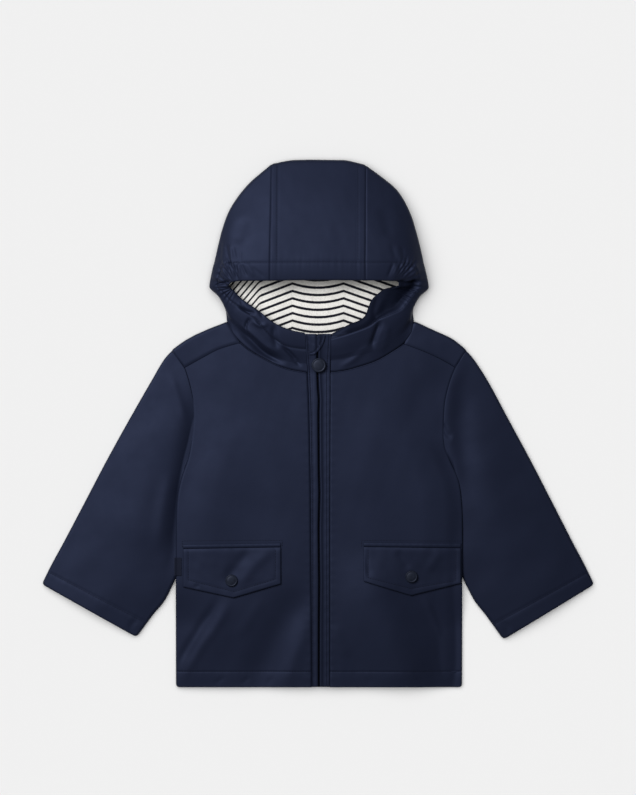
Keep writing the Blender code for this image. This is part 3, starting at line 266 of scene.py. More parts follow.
BODY_FOLDS = [
    ([(-110.0, -194.0), (-123.0, -217.0), (-132.0, -229.0), (-140.0, -243.0), (-151.0, -260.0),
      (-170.0, -290.0)], 5, -1.8),
    ([(-98.0, -198.0), (-111.5, -222.5), (-123.0, -240.0), (-133.4, -253.6), (-144.0, -272.0),
      (-162.0, -302.0)], 6, 1.4),
    ([(-84.0, -176.0), (-104.0, -215.0), (-118.0, -240.0), (-132.0, -262.0), (-144.0, -284.0),
      (-162.0, -316.0)], 20, 1.8),
    ([(-60.0, -196.0), (-72.0, -214.0), (-84.0, -232.0), (-96.0, -250.0)], 7, 0.5),
    ([(-10.0, -180.0), (-32.0, -219.0), (-40.0, -233.0), (-47.0, -243.0), (-55.0, -260.0), (-62.0, -274.0),
      (-84.0, -320.0)], 20, -3.4),
    ([(2.0, -190.0), (-10.0, -220.0), (-20.0, -249.0), (-29.0, -272.0), (-44.0, -316.0)], 10, 1.3),
    ([(106.0, -140.0), (130.0, -200.0), (148.0, -250.0), (162.0, -330.0)], 38, -4.0),
    ([(121.0, -196.0), (132.0, -222.0), (147.0, -252.0)], 3.5, 0.8),
    ([(50.0, -140.0), (66.0, -205.0), (84.0, -250.0), (103.0, -290.0), (120.0, -340.0)], 30, 5.2),
    ([(16.1, -228.3), (35.6, -270.8)], 6.5, 0.6), ([(-119.6, -300.7), (-106.9, -290.4)], 1.8, -0.5),
    ([(-88.5, -300.7), (-78.2, -290.4)], 1.8, -0.5), ([(-58.6, -300.7), (-51.7, -290.4)], 1.8, -0.4),
    ([(62.1, -300.7), (55.2, -290.4)], 1.8, -0.4), ([(121.9, -300.7), (112.7, -290.4)], 1.8, -0.4),
    ([(-122, 60), (-92, -18)], 16, -0.9), ([(128, 58), (98, -20)], 16, -0.9),
    ([(-60, 30), (-40, -110)], 20, 0.6), ([(62, 28), (40, -112)], 20, 0.6),
]
SLEEVE_FOLDS = {
    "left": [([(-171.3, 61.5), (-158.8, 23.6), (-149.6, -2.9)], 5.0, 0.9),
             ([(-138.0, 50.0), (-139.0, -10.0), (-145.0, -44.0), (-152.0, -84.0), (-158.0, -150.0),
               (-164.0, -190.0)], 13, -5.2),
             ([(-166.0, -50.0), (-176.0, -90.0), (-180.0, -120.0), (-184.0, -150.0)], 9, 1.6),
             ([(-190.0, -50.0), (-206.0, -100.0), (-214.0, -150.0)], 18, 1.0),
             ([(-208.1, -244.4), (-215.0, -232.9), (-203.5, -224.8)], 3.0, -0.8),
             ([(-160.0, -184.0), (-176.5, -200.5), (-194.5, -224.0), (-213.0, -246.0)], 0.9, -0.9)],
    "right": [([(170.0, 92.0), (158.0, 60.0), (150.0, 36.0), (147.0, 2.0), (149.0, -14.0), (154.0, -42.0),
                (166.0, -86.0)], 10, 2.0),
              ([(143.0, 2.0), (147.0, -11.0), (156.0, -17.0)], 3, -1.4),
              ([(176.0, 60.0), (166.0, 10.0), (168.0, -40.0), (178.0, -100.0)], 13, -1.4),
              ([(186.0, -20.0), (196.0, -80.0), (206.0, -140.0)], 20, 1.0),
              ([(212.7, -247.8), (218.5, -235.2), (208.1, -226.0)], 3.0, -0.8)],
}
FLAP_FOLDS = [
    ([(-76.0, -140.0), (-92.0, -162.0), (-110.0, -184.0)], 6.0, -1.1),
    ([(-50.0, -142.0), (-74.0, -164.0), (-94.0, -192.0)], 6.5, 0.9),
    ([(-143.8, -190.3), (-135.7, -184.6)], 2.0, -0.6), ([(89.7, -144.3), (105.8, -168.5)], 5.0, -0.8),
    ([(142.6, -144.3), (123.0, -173.1)], 5.5, 0.7), ([(52.0, -150.0), (60.0, -178.0)], 4.0, -0.6),
]


# ---------------------------------------------------------------- sizes and colours
class RaincoatSizes(bpy.types.PropertyGroup):
    """Sizes of cloth, thread and stripes."""

    cloth: FloatProperty(name="Cloth", description="Thickness of the coated cloth", default=0.0008,
                         min=0.0003, max=0.0015, unit="LENGTH")
    jersey: FloatProperty(name="Jersey", description="Thickness of the lining", default=0.0006,
                          min=0.0003, max=0.001, unit="LENGTH")
    stitch: FloatProperty(name="Stitch", description="Length of one stitch", default=0.0031,
                          min=0.002, max=0.005, unit="LENGTH")
    thread: FloatProperty(name="Thread", description="Thickness of the sewing thread", default=0.00045,
                          min=0.0002, max=0.001, unit="LENGTH")
    stripe_pitch: FloatProperty(name="Stripe pitch", description="From one lining stripe to the next",
                                default=0.0085, min=0.003, max=0.03, unit="LENGTH")
    stripe: FloatProperty(name="Stripe", description="Width of a lining stripe", default=0.0030,
                          min=0.0005, max=0.01, unit="LENGTH")
    creases: FloatProperty(name="Creases", description="Depth of folds and creases", default=1.0,
                           min=0.0, max=2.0, subtype="FACTOR")


class RaincoatColours(bpy.types.PropertyGroup):
    """Colours of cloth, lining, studs and floor."""

    cloth: FloatVectorProperty(name="Cloth", description="Coated cloth", size=3, subtype="COLOR",
                               default=(0.0063, 0.0084, 0.0193), min=0.0, max=1.0)
    lining: FloatVectorProperty(name="Lining", description="Ground of the jersey", size=3,
                                subtype="COLOR", default=(0.80, 0.785, 0.75), min=0.0, max=1.0)
    stripe: FloatVectorProperty(name="Stripe", description="Stripes of the jersey", size=3,
                                subtype="COLOR", default=(0.003, 0.004, 0.010), min=0.0, max=1.0)
    studs: FloatVectorProperty(name="Studs", description="Lacquer of the press studs", size=3,
                               subtype="COLOR", default=(0.009, 0.0115, 0.020), min=0.0, max=1.0)
    floor: FloatVectorProperty(name="Floor", description="Floor of the stage", size=3,
                               subtype="COLOR", default=(0.80, 0.80, 0.80), min=0.0, max=1.0)


# ---------------------------------------------------------------- curves and grids
def smooth(t):
    """Ease from 0 to 1 as t goes from 0 to 1."""
    t = np.clip(t, 0.0, 1.0)
    return t * t * (3.0 - 2.0 * t)


def bump(distance, width):
    """A soft ridge round distance 0."""
    return np.exp(-(distance / width) ** 2)


def slope(step_in, step_out):
    """Slope at a row between two steps, held small enough for the curve not to overshoot."""
    limit = 2.0 * np.minimum(np.abs(step_in), np.abs(step_out))
    mean = (step_in + step_out) / 2.0
    same_way = step_in * step_out > 0
    return np.where(same_way, np.sign(mean) * np.minimum(np.abs(mean), limit), 0.0)


def spline(rows, places):
    """Read a smooth curve through the rows at the given row numbers."""
    rows = np.asarray(rows, float)
    last = len(rows) - 1
    places = np.clip(np.asarray(places, float), 0.0, last)
    first = np.minimum(places.astype(int), last - 1)
    t = (places - first)[:, None]
    before, here = rows[np.maximum(first - 1, 0)], rows[first]
    after, beyond = rows[first + 1], rows[np.minimum(first + 2, last)]
    start, end = slope(here - before, after - here), slope(after - here, beyond - after)
    return ((2 * t**3 - 3 * t**2 + 1) * here + (t**3 - 2 * t**2 + t) * start
            + (3 * t**2 - 2 * t**3) * after + (t**3 - t**2) * end)


def fine(rows, steps=8):
    """A table with smooth rows put in between its own."""
    last = len(rows) - 1
    return spline(rows, np.linspace(0, last, steps * last + 1))


def columns(names, table):
    """The columns of a table by their names."""
    return dict(zip(names, np.array(table, float).T))


def bend(points, radii, runs, arcs):
    """Walk along points with round corners, in the given steps of each run and each corner."""
    points = [Vector(p) for p in points]
    walk, start = [], points[0]
    for k, (radius, arc_steps) in enumerate(zip(radii, arcs), start=1):
        into, out = points[k] - points[k - 1], points[k + 1] - points[k]
        reach = 0.499 * min(into.length, out.length)
        into.normalize()
        out.normalize()
        angle = max(into.angle(out), 1e-3)
        reach = min(reach, radius * math.tan(angle / 2.0))
        begin = points[k] - into * reach
        walk += [start.lerp(begin, i / runs[k - 1]) for i in range(runs[k - 1])]
        side = (out - into * math.cos(angle)).normalized()
        turn = reach / math.tan(angle / 2.0)
        for i in range(arc_steps):
            part = angle * i / arc_steps
            walk.append(begin + into * (turn * math.sin(part)) + side * (turn * (1 - math.cos(part))))
        start = points[k] + out * reach
    walk += [start.lerp(points[-1], i / runs[-1]) for i in range(runs[-1] + 1)]
    return [tuple(p) for p in walk]


def steps_between(start, end, step, near_start, near_end):
    """Places from start to end, a step apart, with closer ones at the given distances from both ends."""
    way = 1.0 if end > start else -1.0
    first, last = start + way * near_start[-1], end - way * near_end[-1]
    between = np.linspace(first, last, max(2, round(abs(last - first) / step) + 1))[1:-1]
    closing = (end - way * np.array(near_end))[::-1]
    return np.concatenate([start + way * np.array(near_start), between, closing])


def normals(grid):
    """Unit normals of a grid of points."""
    out = np.cross(np.gradient(grid, axis=0), np.gradient(grid, axis=1))
    return out / np.maximum(np.linalg.norm(out, axis=2, keepdims=True), 1e-9)


def even(values, times, axis=0):
    """Even out values along an axis, and leave both ends as they are."""
    values = np.moveaxis(values.copy(), axis, 0)
    for _ in range(times):
        values[1:-1] = (values[:-2] + 2.0 * values[1:-1] + values[2:]) / 4.0
    return np.moveaxis(values, 0, axis)


def run_length(grid, axis):
    """Length along an axis of a grid, from its start."""
    steps = np.linalg.norm(np.diff(grid, axis=axis), axis=2)
    pad = [(0, 0), (0, 0)]
    pad[axis] = (1, 0)
    return np.pad(np.cumsum(steps, axis=axis), pad)


def nearest_on_line(points, x, y):
    """Distance of x, y from a line through the points, how far along it that is, and its length."""
    nearest, along, done = np.full(x.shape, 1e9), np.zeros_like(x), 0.0
    for (x0, y0), (x1, y1) in zip(points, points[1:]):
        step = math.hypot(x1 - x0, y1 - y0)
        ax, ay = (x1 - x0) / step, (y1 - y0) / step
        t = np.clip((x - x0) * ax + (y - y0) * ay, 0.0, step)
        away = np.hypot(x - x0 - t * ax, y - y0 - t * ay)
        along = np.where(away < nearest, done + t, along)
        nearest = np.minimum(away, nearest)
        done += step
    return nearest, along, done


def line_distance(points, x, y):
    """Distance of x, y from a line through the points."""
    return nearest_on_line(points, x, y)[0]


def fold_height(folds, x, y):
    """Relief of a table of soft folds at x, y; each fades out towards its ends."""
    total = np.zeros_like(x)
    for points, width, rise in folds:
        nearest, along, length = nearest_on_line(fine(points, 4) if len(points) > 2 else points, x, y)
        fade = smooth(along / (0.3 * length)) * smooth((length - along) / (0.3 * length))
        total += rise * fade * bump(nearest, width)
    return total * bpy.context.scene.raincoat_sizes.creases


def unevenness(x, y, size, seed):
    """Soft uneven relief round 0, with waves of about the given size."""
    rng = np.random.default_rng(seed)
    total = np.zeros_like(x)
    for _ in range(14):
        angle, phase = rng.uniform(0, math.tau, 2)
        wave = math.tau / (size * rng.uniform(0.6, 1.6))
        total += np.sin((x * math.cos(angle) + y * math.sin(angle)) * wave + phase)
    return total / 5.3


def coons(top, bottom, left, right, across, down):
    """Blend four edges, given as functions of 0 to 1, into a grid of x, y."""
    u, v = np.meshgrid(across, down)
    u, v = u[..., None], v[..., None]
    t, b = top(across)[None], bottom(across)[None]
    l, r = left(down)[:, None], right(down)[:, None]
    mixed = ((1 - u) * (1 - v) * t[:, :1] + u * (1 - v) * t[:, -1:]
             + (1 - u) * v * b[:, :1] + u * v * b[:, -1:])
    return (1 - v) * t + v * b + (1 - u) * l + u * r - mixed


def path(points, axis):
    """A function of 0 to 1 that runs along points in even steps of x or y."""
    points = np.array(points, float)
    share = (points[:, axis] - points[0, axis]) / (points[-1, axis] - points[0, axis])
    return lambda t: np.column_stack([np.interp(t, share, points[:, k]) for k in (0, 1)])


# ---------------------------------------------------------------- meshes
def wall(outer, inner, tube=False):
    """Join two grids of like size into one closed wall; a tube closes round its second axis."""
    rows, across = outer.shape[:2]
    index = np.arange(rows * across).reshape(rows, across)
    if tube:
        index = np.hstack([index, index[:, :1]])
    quads = np.stack([index[:-1, :-1], index[1:, :-1], index[1:, 1:], index[:-1, 1:]], -1).reshape(-1, 4)
    shift = rows * across
    if tube:
        rims = [index[-1], index[0][::-1]]
    else:
        rims = [np.concatenate([index[:, 0], index[-1, 1:], index[-2::-1, -1], index[0, -2::-1]])]
    faces = [quads, quads[:, ::-1] + shift]
    faces += [np.stack([rim[1:], rim[:-1], rim[:-1] + shift, rim[1:] + shift], -1) for rim in rims]
    return np.concatenate([outer.reshape(-1, 3), inner.reshape(-1, 3)]), np.concatenate(faces).tolist()


def ring_faces(rings, sides, first=0):
    """Faces that join rings of points, one ring after another, and close both ends."""
    faces = []
    for base in range(first, first + (rings - 1) * sides, sides):
        for k in range(sides):
            a, b = base + k, base + (k + 1) % sides
            faces.append([a, b, b + sides, a + sides])
    last = first + (rings - 1) * sides
    return faces + [[first + k for k in range(sides)][::-1], [last + k for k in range(sides)]]


def joined(shapes):
    """Several shapes as one."""
    points, faces, shift = [], [], 0
    for some_points, some_faces in shapes:
        points.append(some_points)
        faces += [[k + shift for k in face] for face in some_faces]
        shift += len(some_points)
    return np.concatenate(points), faces


def close_edge(outer, inner, distance, radius):
    """Round a folded edge: both faces meet in the middle where distance is 0."""
    near = 1.0 - np.clip(distance / radius, 0.02, 1.0)
    share = np.sqrt(1.0 - near**2)[..., None]
    middle = (outer + inner) / 2.0
    return middle + (outer - middle) * share, middle + (inner - middle) * share


def layer(x, y, upper, lower, from_edge, radius):
    """A closed layer between two heights, rounded where its distance from an edge is 0."""
    return wall(*close_edge(np.dstack([x, y, upper]), np.dstack([x, y, lower]), from_edge, radius))


def add_piece(name, shape, finish_name, node, cut=None, sharp=40.0):
    """Add one closed piece in millimetres, which stands for a CAD node."""
    points, faces = shape
    mesh = bpy.data.meshes.new(name)
    mesh.from_pydata((np.asarray(points) * MM).tolist(), [], faces)
    work = bmesh.new()
    work.from_mesh(mesh)
    bmesh.ops.recalc_face_normals(work, faces=work.faces)
    work.to_mesh(mesh)
    work.free()
    mesh.shade_smooth()
    mesh.set_sharp_from_angle(angle=math.radians(sharp))
    if cut is not None:
        place = mesh.attributes.new("cut", "FLOAT_VECTOR", "POINT")
        place.data.foreach_set("vector", np.ascontiguousarray(cut * MM, dtype=np.float32).ravel())
    mesh.materials.append(finish(finish_name))
    piece = bpy.data.objects.new(name, mesh)
    bpy.context.scene.collection.objects.link(piece)
    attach(piece, "root")
    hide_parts(node)
    return piece


class Lay:
    """Finds the places on pieces that a line drawn on the coat runs over."""

    def __init__(self, *pieces):
        graph = bpy.context.evaluated_depsgraph_get()
        self.trees = [BVHTree.FromObject(piece, graph) for piece in pieces]

    def at(self, x, y, under=False):
        """The outermost place at x, y and the way that it faces, seen from above or from under."""
        start, way = (-1.0, 1.0) if under else (1.0, -1.0)
        best = None
        for tree in self.trees:
            hit, facing, _, _ = tree.ray_cast(Vector((x * MM, y * MM, start)), Vector((0, 0, way)))
            if hit and (best is None or abs(hit.z - start) < abs(best[0].z - start)):
                best = (hit, facing if facing.z * way < 0 else -facing)
        return best

    def line(self, points, under=False, step=1.2):
        """Places and facings along a line through the points."""
        points = np.array(points, float)
        lengths = np.linalg.norm(np.diff(points, axis=0), axis=1)
        total = np.concatenate([[0.0], np.cumsum(lengths)])
        stops = np.linspace(0.0, total[-1], max(2, int(total[-1] / step)))
        found = [self.at(np.interp(s, total, points[:, 0]), np.interp(s, total, points[:, 1]), under)
                 for s in stops]
        found = [f for f in found if f]
        return np.array([f[0] for f in found]) / MM, np.array([f[1] for f in found])


def stitches(line, facings):
    """A row of stitches along a line on cloth, each a short arched thread with its ends sunk in."""
    sizes = bpy.context.scene.raincoat_sizes
    pitch, radius = sizes.stitch / MM, sizes.thread / MM / 2.0
    total = np.concatenate([[0.0], np.cumsum(np.linalg.norm(np.diff(line, axis=0), axis=1))])
    count = int(total[-1] / pitch)
    starts = (np.arange(count)[:, None] + np.array([0.1, 0.3, 0.7, 0.9])) * total[-1] / max(count, 1)
    middle = np.stack([np.interp(starts, total, line[:, k]) for k in range(3)], -1)
    up = np.stack([np.interp(starts, total, facings[:, k]) for k in range(3)], -1)
    up /= np.linalg.norm(up, axis=2, keepdims=True)
    along = middle[:, -1:] - middle[:, :1]
    along = along / np.maximum(np.linalg.norm(along, axis=2, keepdims=True), 1e-9)
    side = np.cross(np.broadcast_to(along, up.shape), up)
    middle = middle + up * (np.array([-1.1, 0.25, 0.25, -1.1]) * radius)[None, :, None]
    sides = 5
    turns = np.radians(np.arange(sides) * 360.0 / sides)
    rings = (middle[:, :, None] + radius * (side[:, :, None] * np.cos(turns)[:, None]
                                            + up[:, :, None] * np.sin(turns)[:, None]))
    faces = []
    for k in range(count):
        faces += ring_faces(4, sides, 4 * sides * k)
    return rings.reshape(-1, 3), faces


def sew(name, rows, carrier):
    """Add rows of stitches as one piece on its carrier's cloth."""
    shapes = [stitches(*row) for row in rows if len(row[0]) > 3]
    return add_piece(name, joined(shapes), "sewing thread", carrier)


# ---------------------------------------------------------------- finishes
def add_node(tree, kind, inputs=None, **settings):
    """Add a shader node, set its inputs or link them, and give it back."""
    made = tree.nodes.new(kind)
    for name, value in settings.items():
        setattr(made, name, value)
    for name, value in (inputs or {}).items():
        if isinstance(value, bpy.types.NodeSocket):
            tree.links.new(value, made.inputs[name])
        else:
            made.inputs[name].default_value = value
    return made


def finish(name):
    """The material of a finish, which is made when it is first asked for."""
    if name not in bpy.data.materials:
        made = bpy.data.materials.new(name)
        made.use_nodes = True
        tree = made.node_tree
        place = tree.nodes.new("ShaderNodeTexCoord").outputs["Object"]
        FINISHES[name](tree, tree.nodes["Principled BSDF"], place)
    return bpy.data.materials[name]


def blend_of(tree, factor, low, high):
    """A colour between low and high."""
    ramp = add_node(tree, "ShaderNodeValToRGB", {"Fac": factor})
    ramp.color_ramp.elements[0].position, ramp.color_ramp.elements[1].position = 0.3, 0.7
    ramp.color_ramp.elements[0].color, ramp.color_ramp.elements[1].color = (*low, 1.0), (*high, 1.0)
    return ramp.outputs["Color"]


def noise(tree, place, scale, detail=2.0):
    """Soft noise with so many waves to the metre."""
    made = add_node(tree, "ShaderNodeTexNoise", {"Vector": place, "Scale": scale, "Detail": detail})
    return made.outputs["Fac"]


def raised(tree, height, strength, distance, under=None):
    """A bump of the given height in metres, on top of another."""
    inputs = {"Height": height, "Strength": strength, "Distance": distance}
    if under is not None:
        inputs["Normal"] = under
    return add_node(tree, "ShaderNodeBump", inputs).outputs["Normal"]


def tinted(colour, factor):
    """A colour made lighter or darker."""
    return tuple(min(1.0, c * factor) for c in colour)


def coated_cloth(tree, shader, place):
    """Knit with a satin coating, uneven in gloss, and darkened and dulled as painted shade where a point
    attribute marks it.
    """
    colour = tuple(bpy.context.scene.raincoat_colours.cloth)
    shade = blend_of(tree, noise(tree, place, 26.0, 4.0), tinted(colour, 0.94), tinted(colour, 1.06))
    gloss = add_node(tree, "ShaderNodeMapRange", {"Value": noise(tree, place, 75.0, 3.0),
                                                  "To Min": 0.54, "To Max": 0.63})
    crinkle = raised(tree, noise(tree, place, 90.0, 2.0), 0.06, 0.0011)
    grain = raised(tree, noise(tree, place, 1500.0, 2.0), 0.12, 0.00025, crinkle)
    # painted shade: where the attribute is 1, the base colour drops to 0.6 and the gloss is dulled, standing
    # in for the shade under the hood's brim
    painted_shade = add_node(tree, "ShaderNodeAttribute", attribute_name="painted_shade").outputs["Fac"]
    both = add_node(tree, "ShaderNodeMix", {0: painted_shade, 6: shade, 7: (*tinted(colour, 0.6), 1.0)},
                    data_type="RGBA")
    shaded_gloss = add_node(tree, "ShaderNodeMapRange", {"Value": painted_shade, "To Min": 0.32, "To Max": 0.09})
    tree.links.new(both.outputs[2], shader.inputs["Base Color"])
    tree.links.new(gloss.outputs["Result"], shader.inputs["Roughness"])
    tree.links.new(grain, shader.inputs["Normal"])
    tree.links.new(shaded_gloss.outputs["Result"], shader.inputs["Specular IOR Level"])
    shader.inputs["Specular Tint"].default_value = (0.43, 0.53, 0.965, 1.0)


def sewing_thread(tree, shader, place):
    """Spun sewing thread in the colour of the cloth."""
    colour = tuple(bpy.context.scene.raincoat_colours.cloth)
    twist = add_node(tree, "ShaderNodeTexWave", {"Vector": place, "Scale": 900.0, "Distortion": 2.0},
                     bands_direction="DIAGONAL")
    shade = blend_of(tree, twist.outputs["Fac"], tinted(colour, 0.45), tinted(colour, 0.8))
    tree.links.new(shade, shader.inputs["Base Color"])
    tree.links.new(raised(tree, twist.outputs["Fac"], 0.5, 0.0001), shader.inputs["Normal"])
    shader.inputs["Roughness"].default_value = 0.7
    shader.inputs["Specular IOR Level"].default_value = 0.1


def striped_jersey(tree, shader, place):
    """Cream knit with flecks and narrow dark stripes that follow the cut."""
    sizes, colours = bpy.context.scene.raincoat_sizes, bpy.context.scene.raincoat_colours
    ground, dark = tuple(colours.lining), tuple(colours.stripe)
    cut = add_node(tree, "ShaderNodeAttribute", attribute_name="cut").outputs["Vector"]
    apart = add_node(tree, "ShaderNodeSeparateXYZ", {"Vector": cut})
    wander = add_node(tree, "ShaderNodeMath", operation="MULTIPLY_ADD")
    tree.links.new(noise(tree, place, 420.0, 2.0), wander.inputs[0])
    wander.inputs[1].default_value = 0.0007
    tree.links.new(apart.outputs["Y"], wander.inputs[2])
    rows = add_node(tree, "ShaderNodeMath", {0: wander.outputs[0], 1: sizes.stripe_pitch / 2.0},
                    operation="PINGPONG")
    half = sizes.stripe / 2.0
    edge = add_node(tree, "ShaderNodeMapRange", {"Value": rows.outputs[0], "From Min": half * 0.85,
                                                 "From Max": half * 1.15, "To Min": 1.0, "To Max": 0.0})
    fleck = blend_of(tree, noise(tree, place, 900.0, 3.0), tinted(ground, 0.84), tinted(ground, 1.08))
    patch = blend_of(tree, noise(tree, place, 60.0, 2.0), (0.93, 0.93, 0.93), (1.0, 1.0, 1.0))
    knit = add_node(tree, "ShaderNodeMix", {6: fleck, 7: patch, 0: 1.0}, data_type="RGBA",
                    blend_type="MULTIPLY")
    mixed = add_node(tree, "ShaderNodeMix", {6: knit.outputs[2], 7: (*dark, 1.0),
                                             0: edge.outputs["Result"]}, data_type="RGBA")
    wales = add_node(tree, "ShaderNodeTexWave", {"Vector": cut, "Scale": 170.0}, bands_direction="X")
    courses = add_node(tree, "ShaderNodeTexWave", {"Vector": cut, "Scale": 230.0}, bands_direction="Y")
    loops = raised(tree, wales.outputs["Fac"], 0.35, 0.00025)
    loops = raised(tree, courses.outputs["Fac"], 0.3, 0.0002, loops)
    tree.links.new(mixed.outputs[2], shader.inputs["Base Color"])
    tree.links.new(loops, shader.inputs["Normal"])
    shader.inputs["Roughness"].default_value = 0.85
    shader.inputs["Specular IOR Level"].default_value = 0.2


def woven_tape(tree, shader, place):
    """Matt woven tape."""
    weft = add_node(tree, "ShaderNodeTexWave", {"Vector": place, "Scale": 420.0}, bands_direction="Y")
    warp = add_node(tree, "ShaderNodeTexWave", {"Vector": place, "Scale": 300.0}, bands_direction="X")
    shade = blend_of(tree, weft.outputs["Fac"], (0.006, 0.008, 0.017), (0.011, 0.014, 0.031))
    woven = raised(tree, weft.outputs["Fac"], 0.5, 0.0002)
    woven = raised(tree, warp.outputs["Fac"], 0.4, 0.0002, woven)
    tree.links.new(shade, shader.inputs["Base Color"])
    tree.links.new(woven, shader.inputs["Normal"])
    shader.inputs["Roughness"].default_value = 0.75
    shader.inputs["Specular IOR Level"].default_value = 0.1


def lacquer(tree, shader, place):
    """Satin lacquer on metal, with fine dust and small scuffs in its gloss."""
    colour = tuple(bpy.context.scene.raincoat_colours.studs)
    shade = blend_of(tree, noise(tree, place, 300.0, 3.0), tinted(colour, 0.8), tinted(colour, 1.3))
    gloss = add_node(tree, "ShaderNodeMapRange", {"Value": noise(tree, place, 500.0, 4.0),
                                                  "To Min": 0.36, "To Max": 0.50})
    tree.links.new(shade, shader.inputs["Base Color"])
    tree.links.new(gloss.outputs["Result"], shader.inputs["Roughness"])
    tree.links.new(raised(tree, noise(tree, place, 900.0), 0.1, 0.0001), shader.inputs["Normal"])
    shader.inputs["Specular IOR Level"].default_value = 0.2
    shader.inputs["Specular Tint"].default_value = (0.62, 0.70, 1.0, 1.0)


def pale_floor(tree, shader, place):
    """Plain matt floor."""
    shader.inputs["Base Color"].default_value = (*bpy.context.scene.raincoat_colours.floor, 1.0)
    shader.inputs["Roughness"].default_value = 0.95
    shader.inputs["Specular IOR Level"].default_value = 0.0


FINISHES = {"coated cloth": coated_cloth, "sewing thread": sewing_thread, "striped jersey": striped_jersey,
            "woven tape": woven_tape, "lacquer": lacquer, "pale floor": pale_floor}


# ---------------------------------------------------------------- body
def cloth_thickness():
    """Thickness of the coated cloth in millimetres."""
    return bpy.context.scene.raincoat_sizes.cloth / MM


def hemmed_thickness(from_stitch):
    """Thickness of coated cloth whose hem or cuff is turned up to the stitching."""
    return cloth_thickness() + TURNING * (1.0 - smooth(from_stitch / 1.5))


def body_sides():
    """The body's left and right edge against y, as columns."""
    return columns(("y", "left", "right"), fine(SIDES))


def side_edges(y):
    """The body's left and right edge at the given y."""
    sides = body_sides()
    return [np.interp(-y, -sides["y"], sides[side]) for side in ("left", "right")]


def below_armhole(y):
    """0 along the armholes and 1 along the side seams."""
    return smooth((-14.0 - y) / 28.0)


def quarter_round(distance, radius):
    """A quarter of a circle, from 0 at an edge to 1 at its radius."""
    return np.sqrt(1.0 - (1.0 - np.clip(distance / radius, 0.0, 1.0)) ** 2)


def edge_distance(x, y):
    """Distance to the nearer side edge of the body."""
    left, right = side_edges(y)
    return np.minimum(x - left, right - x)


def margin_lift(x, y):
    """How far the body is lifted off the floor by the sleeves tucked under its margins."""
    across = 1.0 - smooth((edge_distance(x, y) - LIFT_FLAT) / LIFT_RUN)
    along = smooth((70.0 - y) / 180.0) * (1.0 - smooth((-180.0 - y) / 56.0))
    return LIFT * across * along


def front_height(x, y):
    """Upper side of the front panels, with their folds."""
    middle = smooth((edge_distance(x, y) - LIFT_FLAT) / LIFT_RUN)
    belly = (BELLY + 0.8 * smooth((x - 14.0) / 70.0)) * middle
    belly *= smooth((110.0 - y) / 200.0) * (1.0 - 0.55 * smooth((-170.0 - y) / 130.0))
    hem = np.maximum(smooth((y - HEM_Y) / 70.0), np.exp(-(x / 40.0) ** 4))
    rise = smooth(edge_distance(x, y) / 46.0) * (0.35 + 0.65 * hem)
    inner = smooth(edge_distance(x, y) / 12.0)
    relief = fold_height(BODY_FOLDS, x, y) + 0.4 * unevenness(x, y, 80.0, 3) * hem
    relief += 0.06 * unevenness(x, y, 26.0, 4)
    gap = np.clip(SIDE_GAP + PUFF * rise + relief * inner, *FRONT_RELIEF)
    _, right = side_edges(y)
    sag = SAG * (1.0 - smooth((right - x) / 20.0)) * below_armhole(y)
    return margin_lift(x, y) + BODY_WALL + gap + belly + BODY_WALL - sag


def front_height_at(x, y):
    """Upper side of the front panels at one place."""
    return float(front_height(np.array([x]), np.array([y]))[0])


def hem_relief(x, y):
    """Turned hem: a thicker band, its stitching sunk in and small puckers along it."""
    from_stitch = y - HEM_STITCH_Y
    band = 0.3 * (1.0 - smooth((from_stitch + 7.0) / 8.0))
    puckers = 0.08 * np.sin(x * 0.71 + 2.0 * np.sin(x * 0.083)) * bump(from_stitch, 5.0)
    return band - 0.4 * bump(from_stitch, 0.8) + puckers


def panel_levels(top_y):
    """Shares of the way from top_y to the hem at which the body panels have points."""
    levels = np.concatenate([
        steps_between(top_y, HEM_STITCH_Y + 4.0, 2.4, (0, 0.35, 0.8, 1.4, 2.1, 3.0, 4.2), (0,)),
        HEM_STITCH_Y + np.arange(3.2, -4.1, -0.8), np.arange(HEM_STITCH_Y - 6, HEM_Y + 2, -2.0),
        HEM_Y + np.array([1.5, 0.9, 0.45, 0.15, 0.0])])
    return (top_y - levels) / (top_y - HEM_Y)


def inset(distance):
    """How far a rounded corner of the hem or a cuff is drawn in at a distance from its edge."""
    near = np.clip(CORNER - distance, 0.0, CORNER)
    return CORNER - np.sqrt(CORNER**2 - near**2)


def body_cloth(node, x, y, upper, lower):
    """Add a body panel from its two sides, with its hem rounded and its lower corners drawn in."""
    left, right = side_edges(y)
    x = x + inset(y - HEM_Y) * (bump(x - left, 9.0) - bump(right - x, 9.0))
    return add_piece(node + "_cloth", layer(x, y, upper, lower, y - HEM_Y, 0.8), "coated cloth", node)


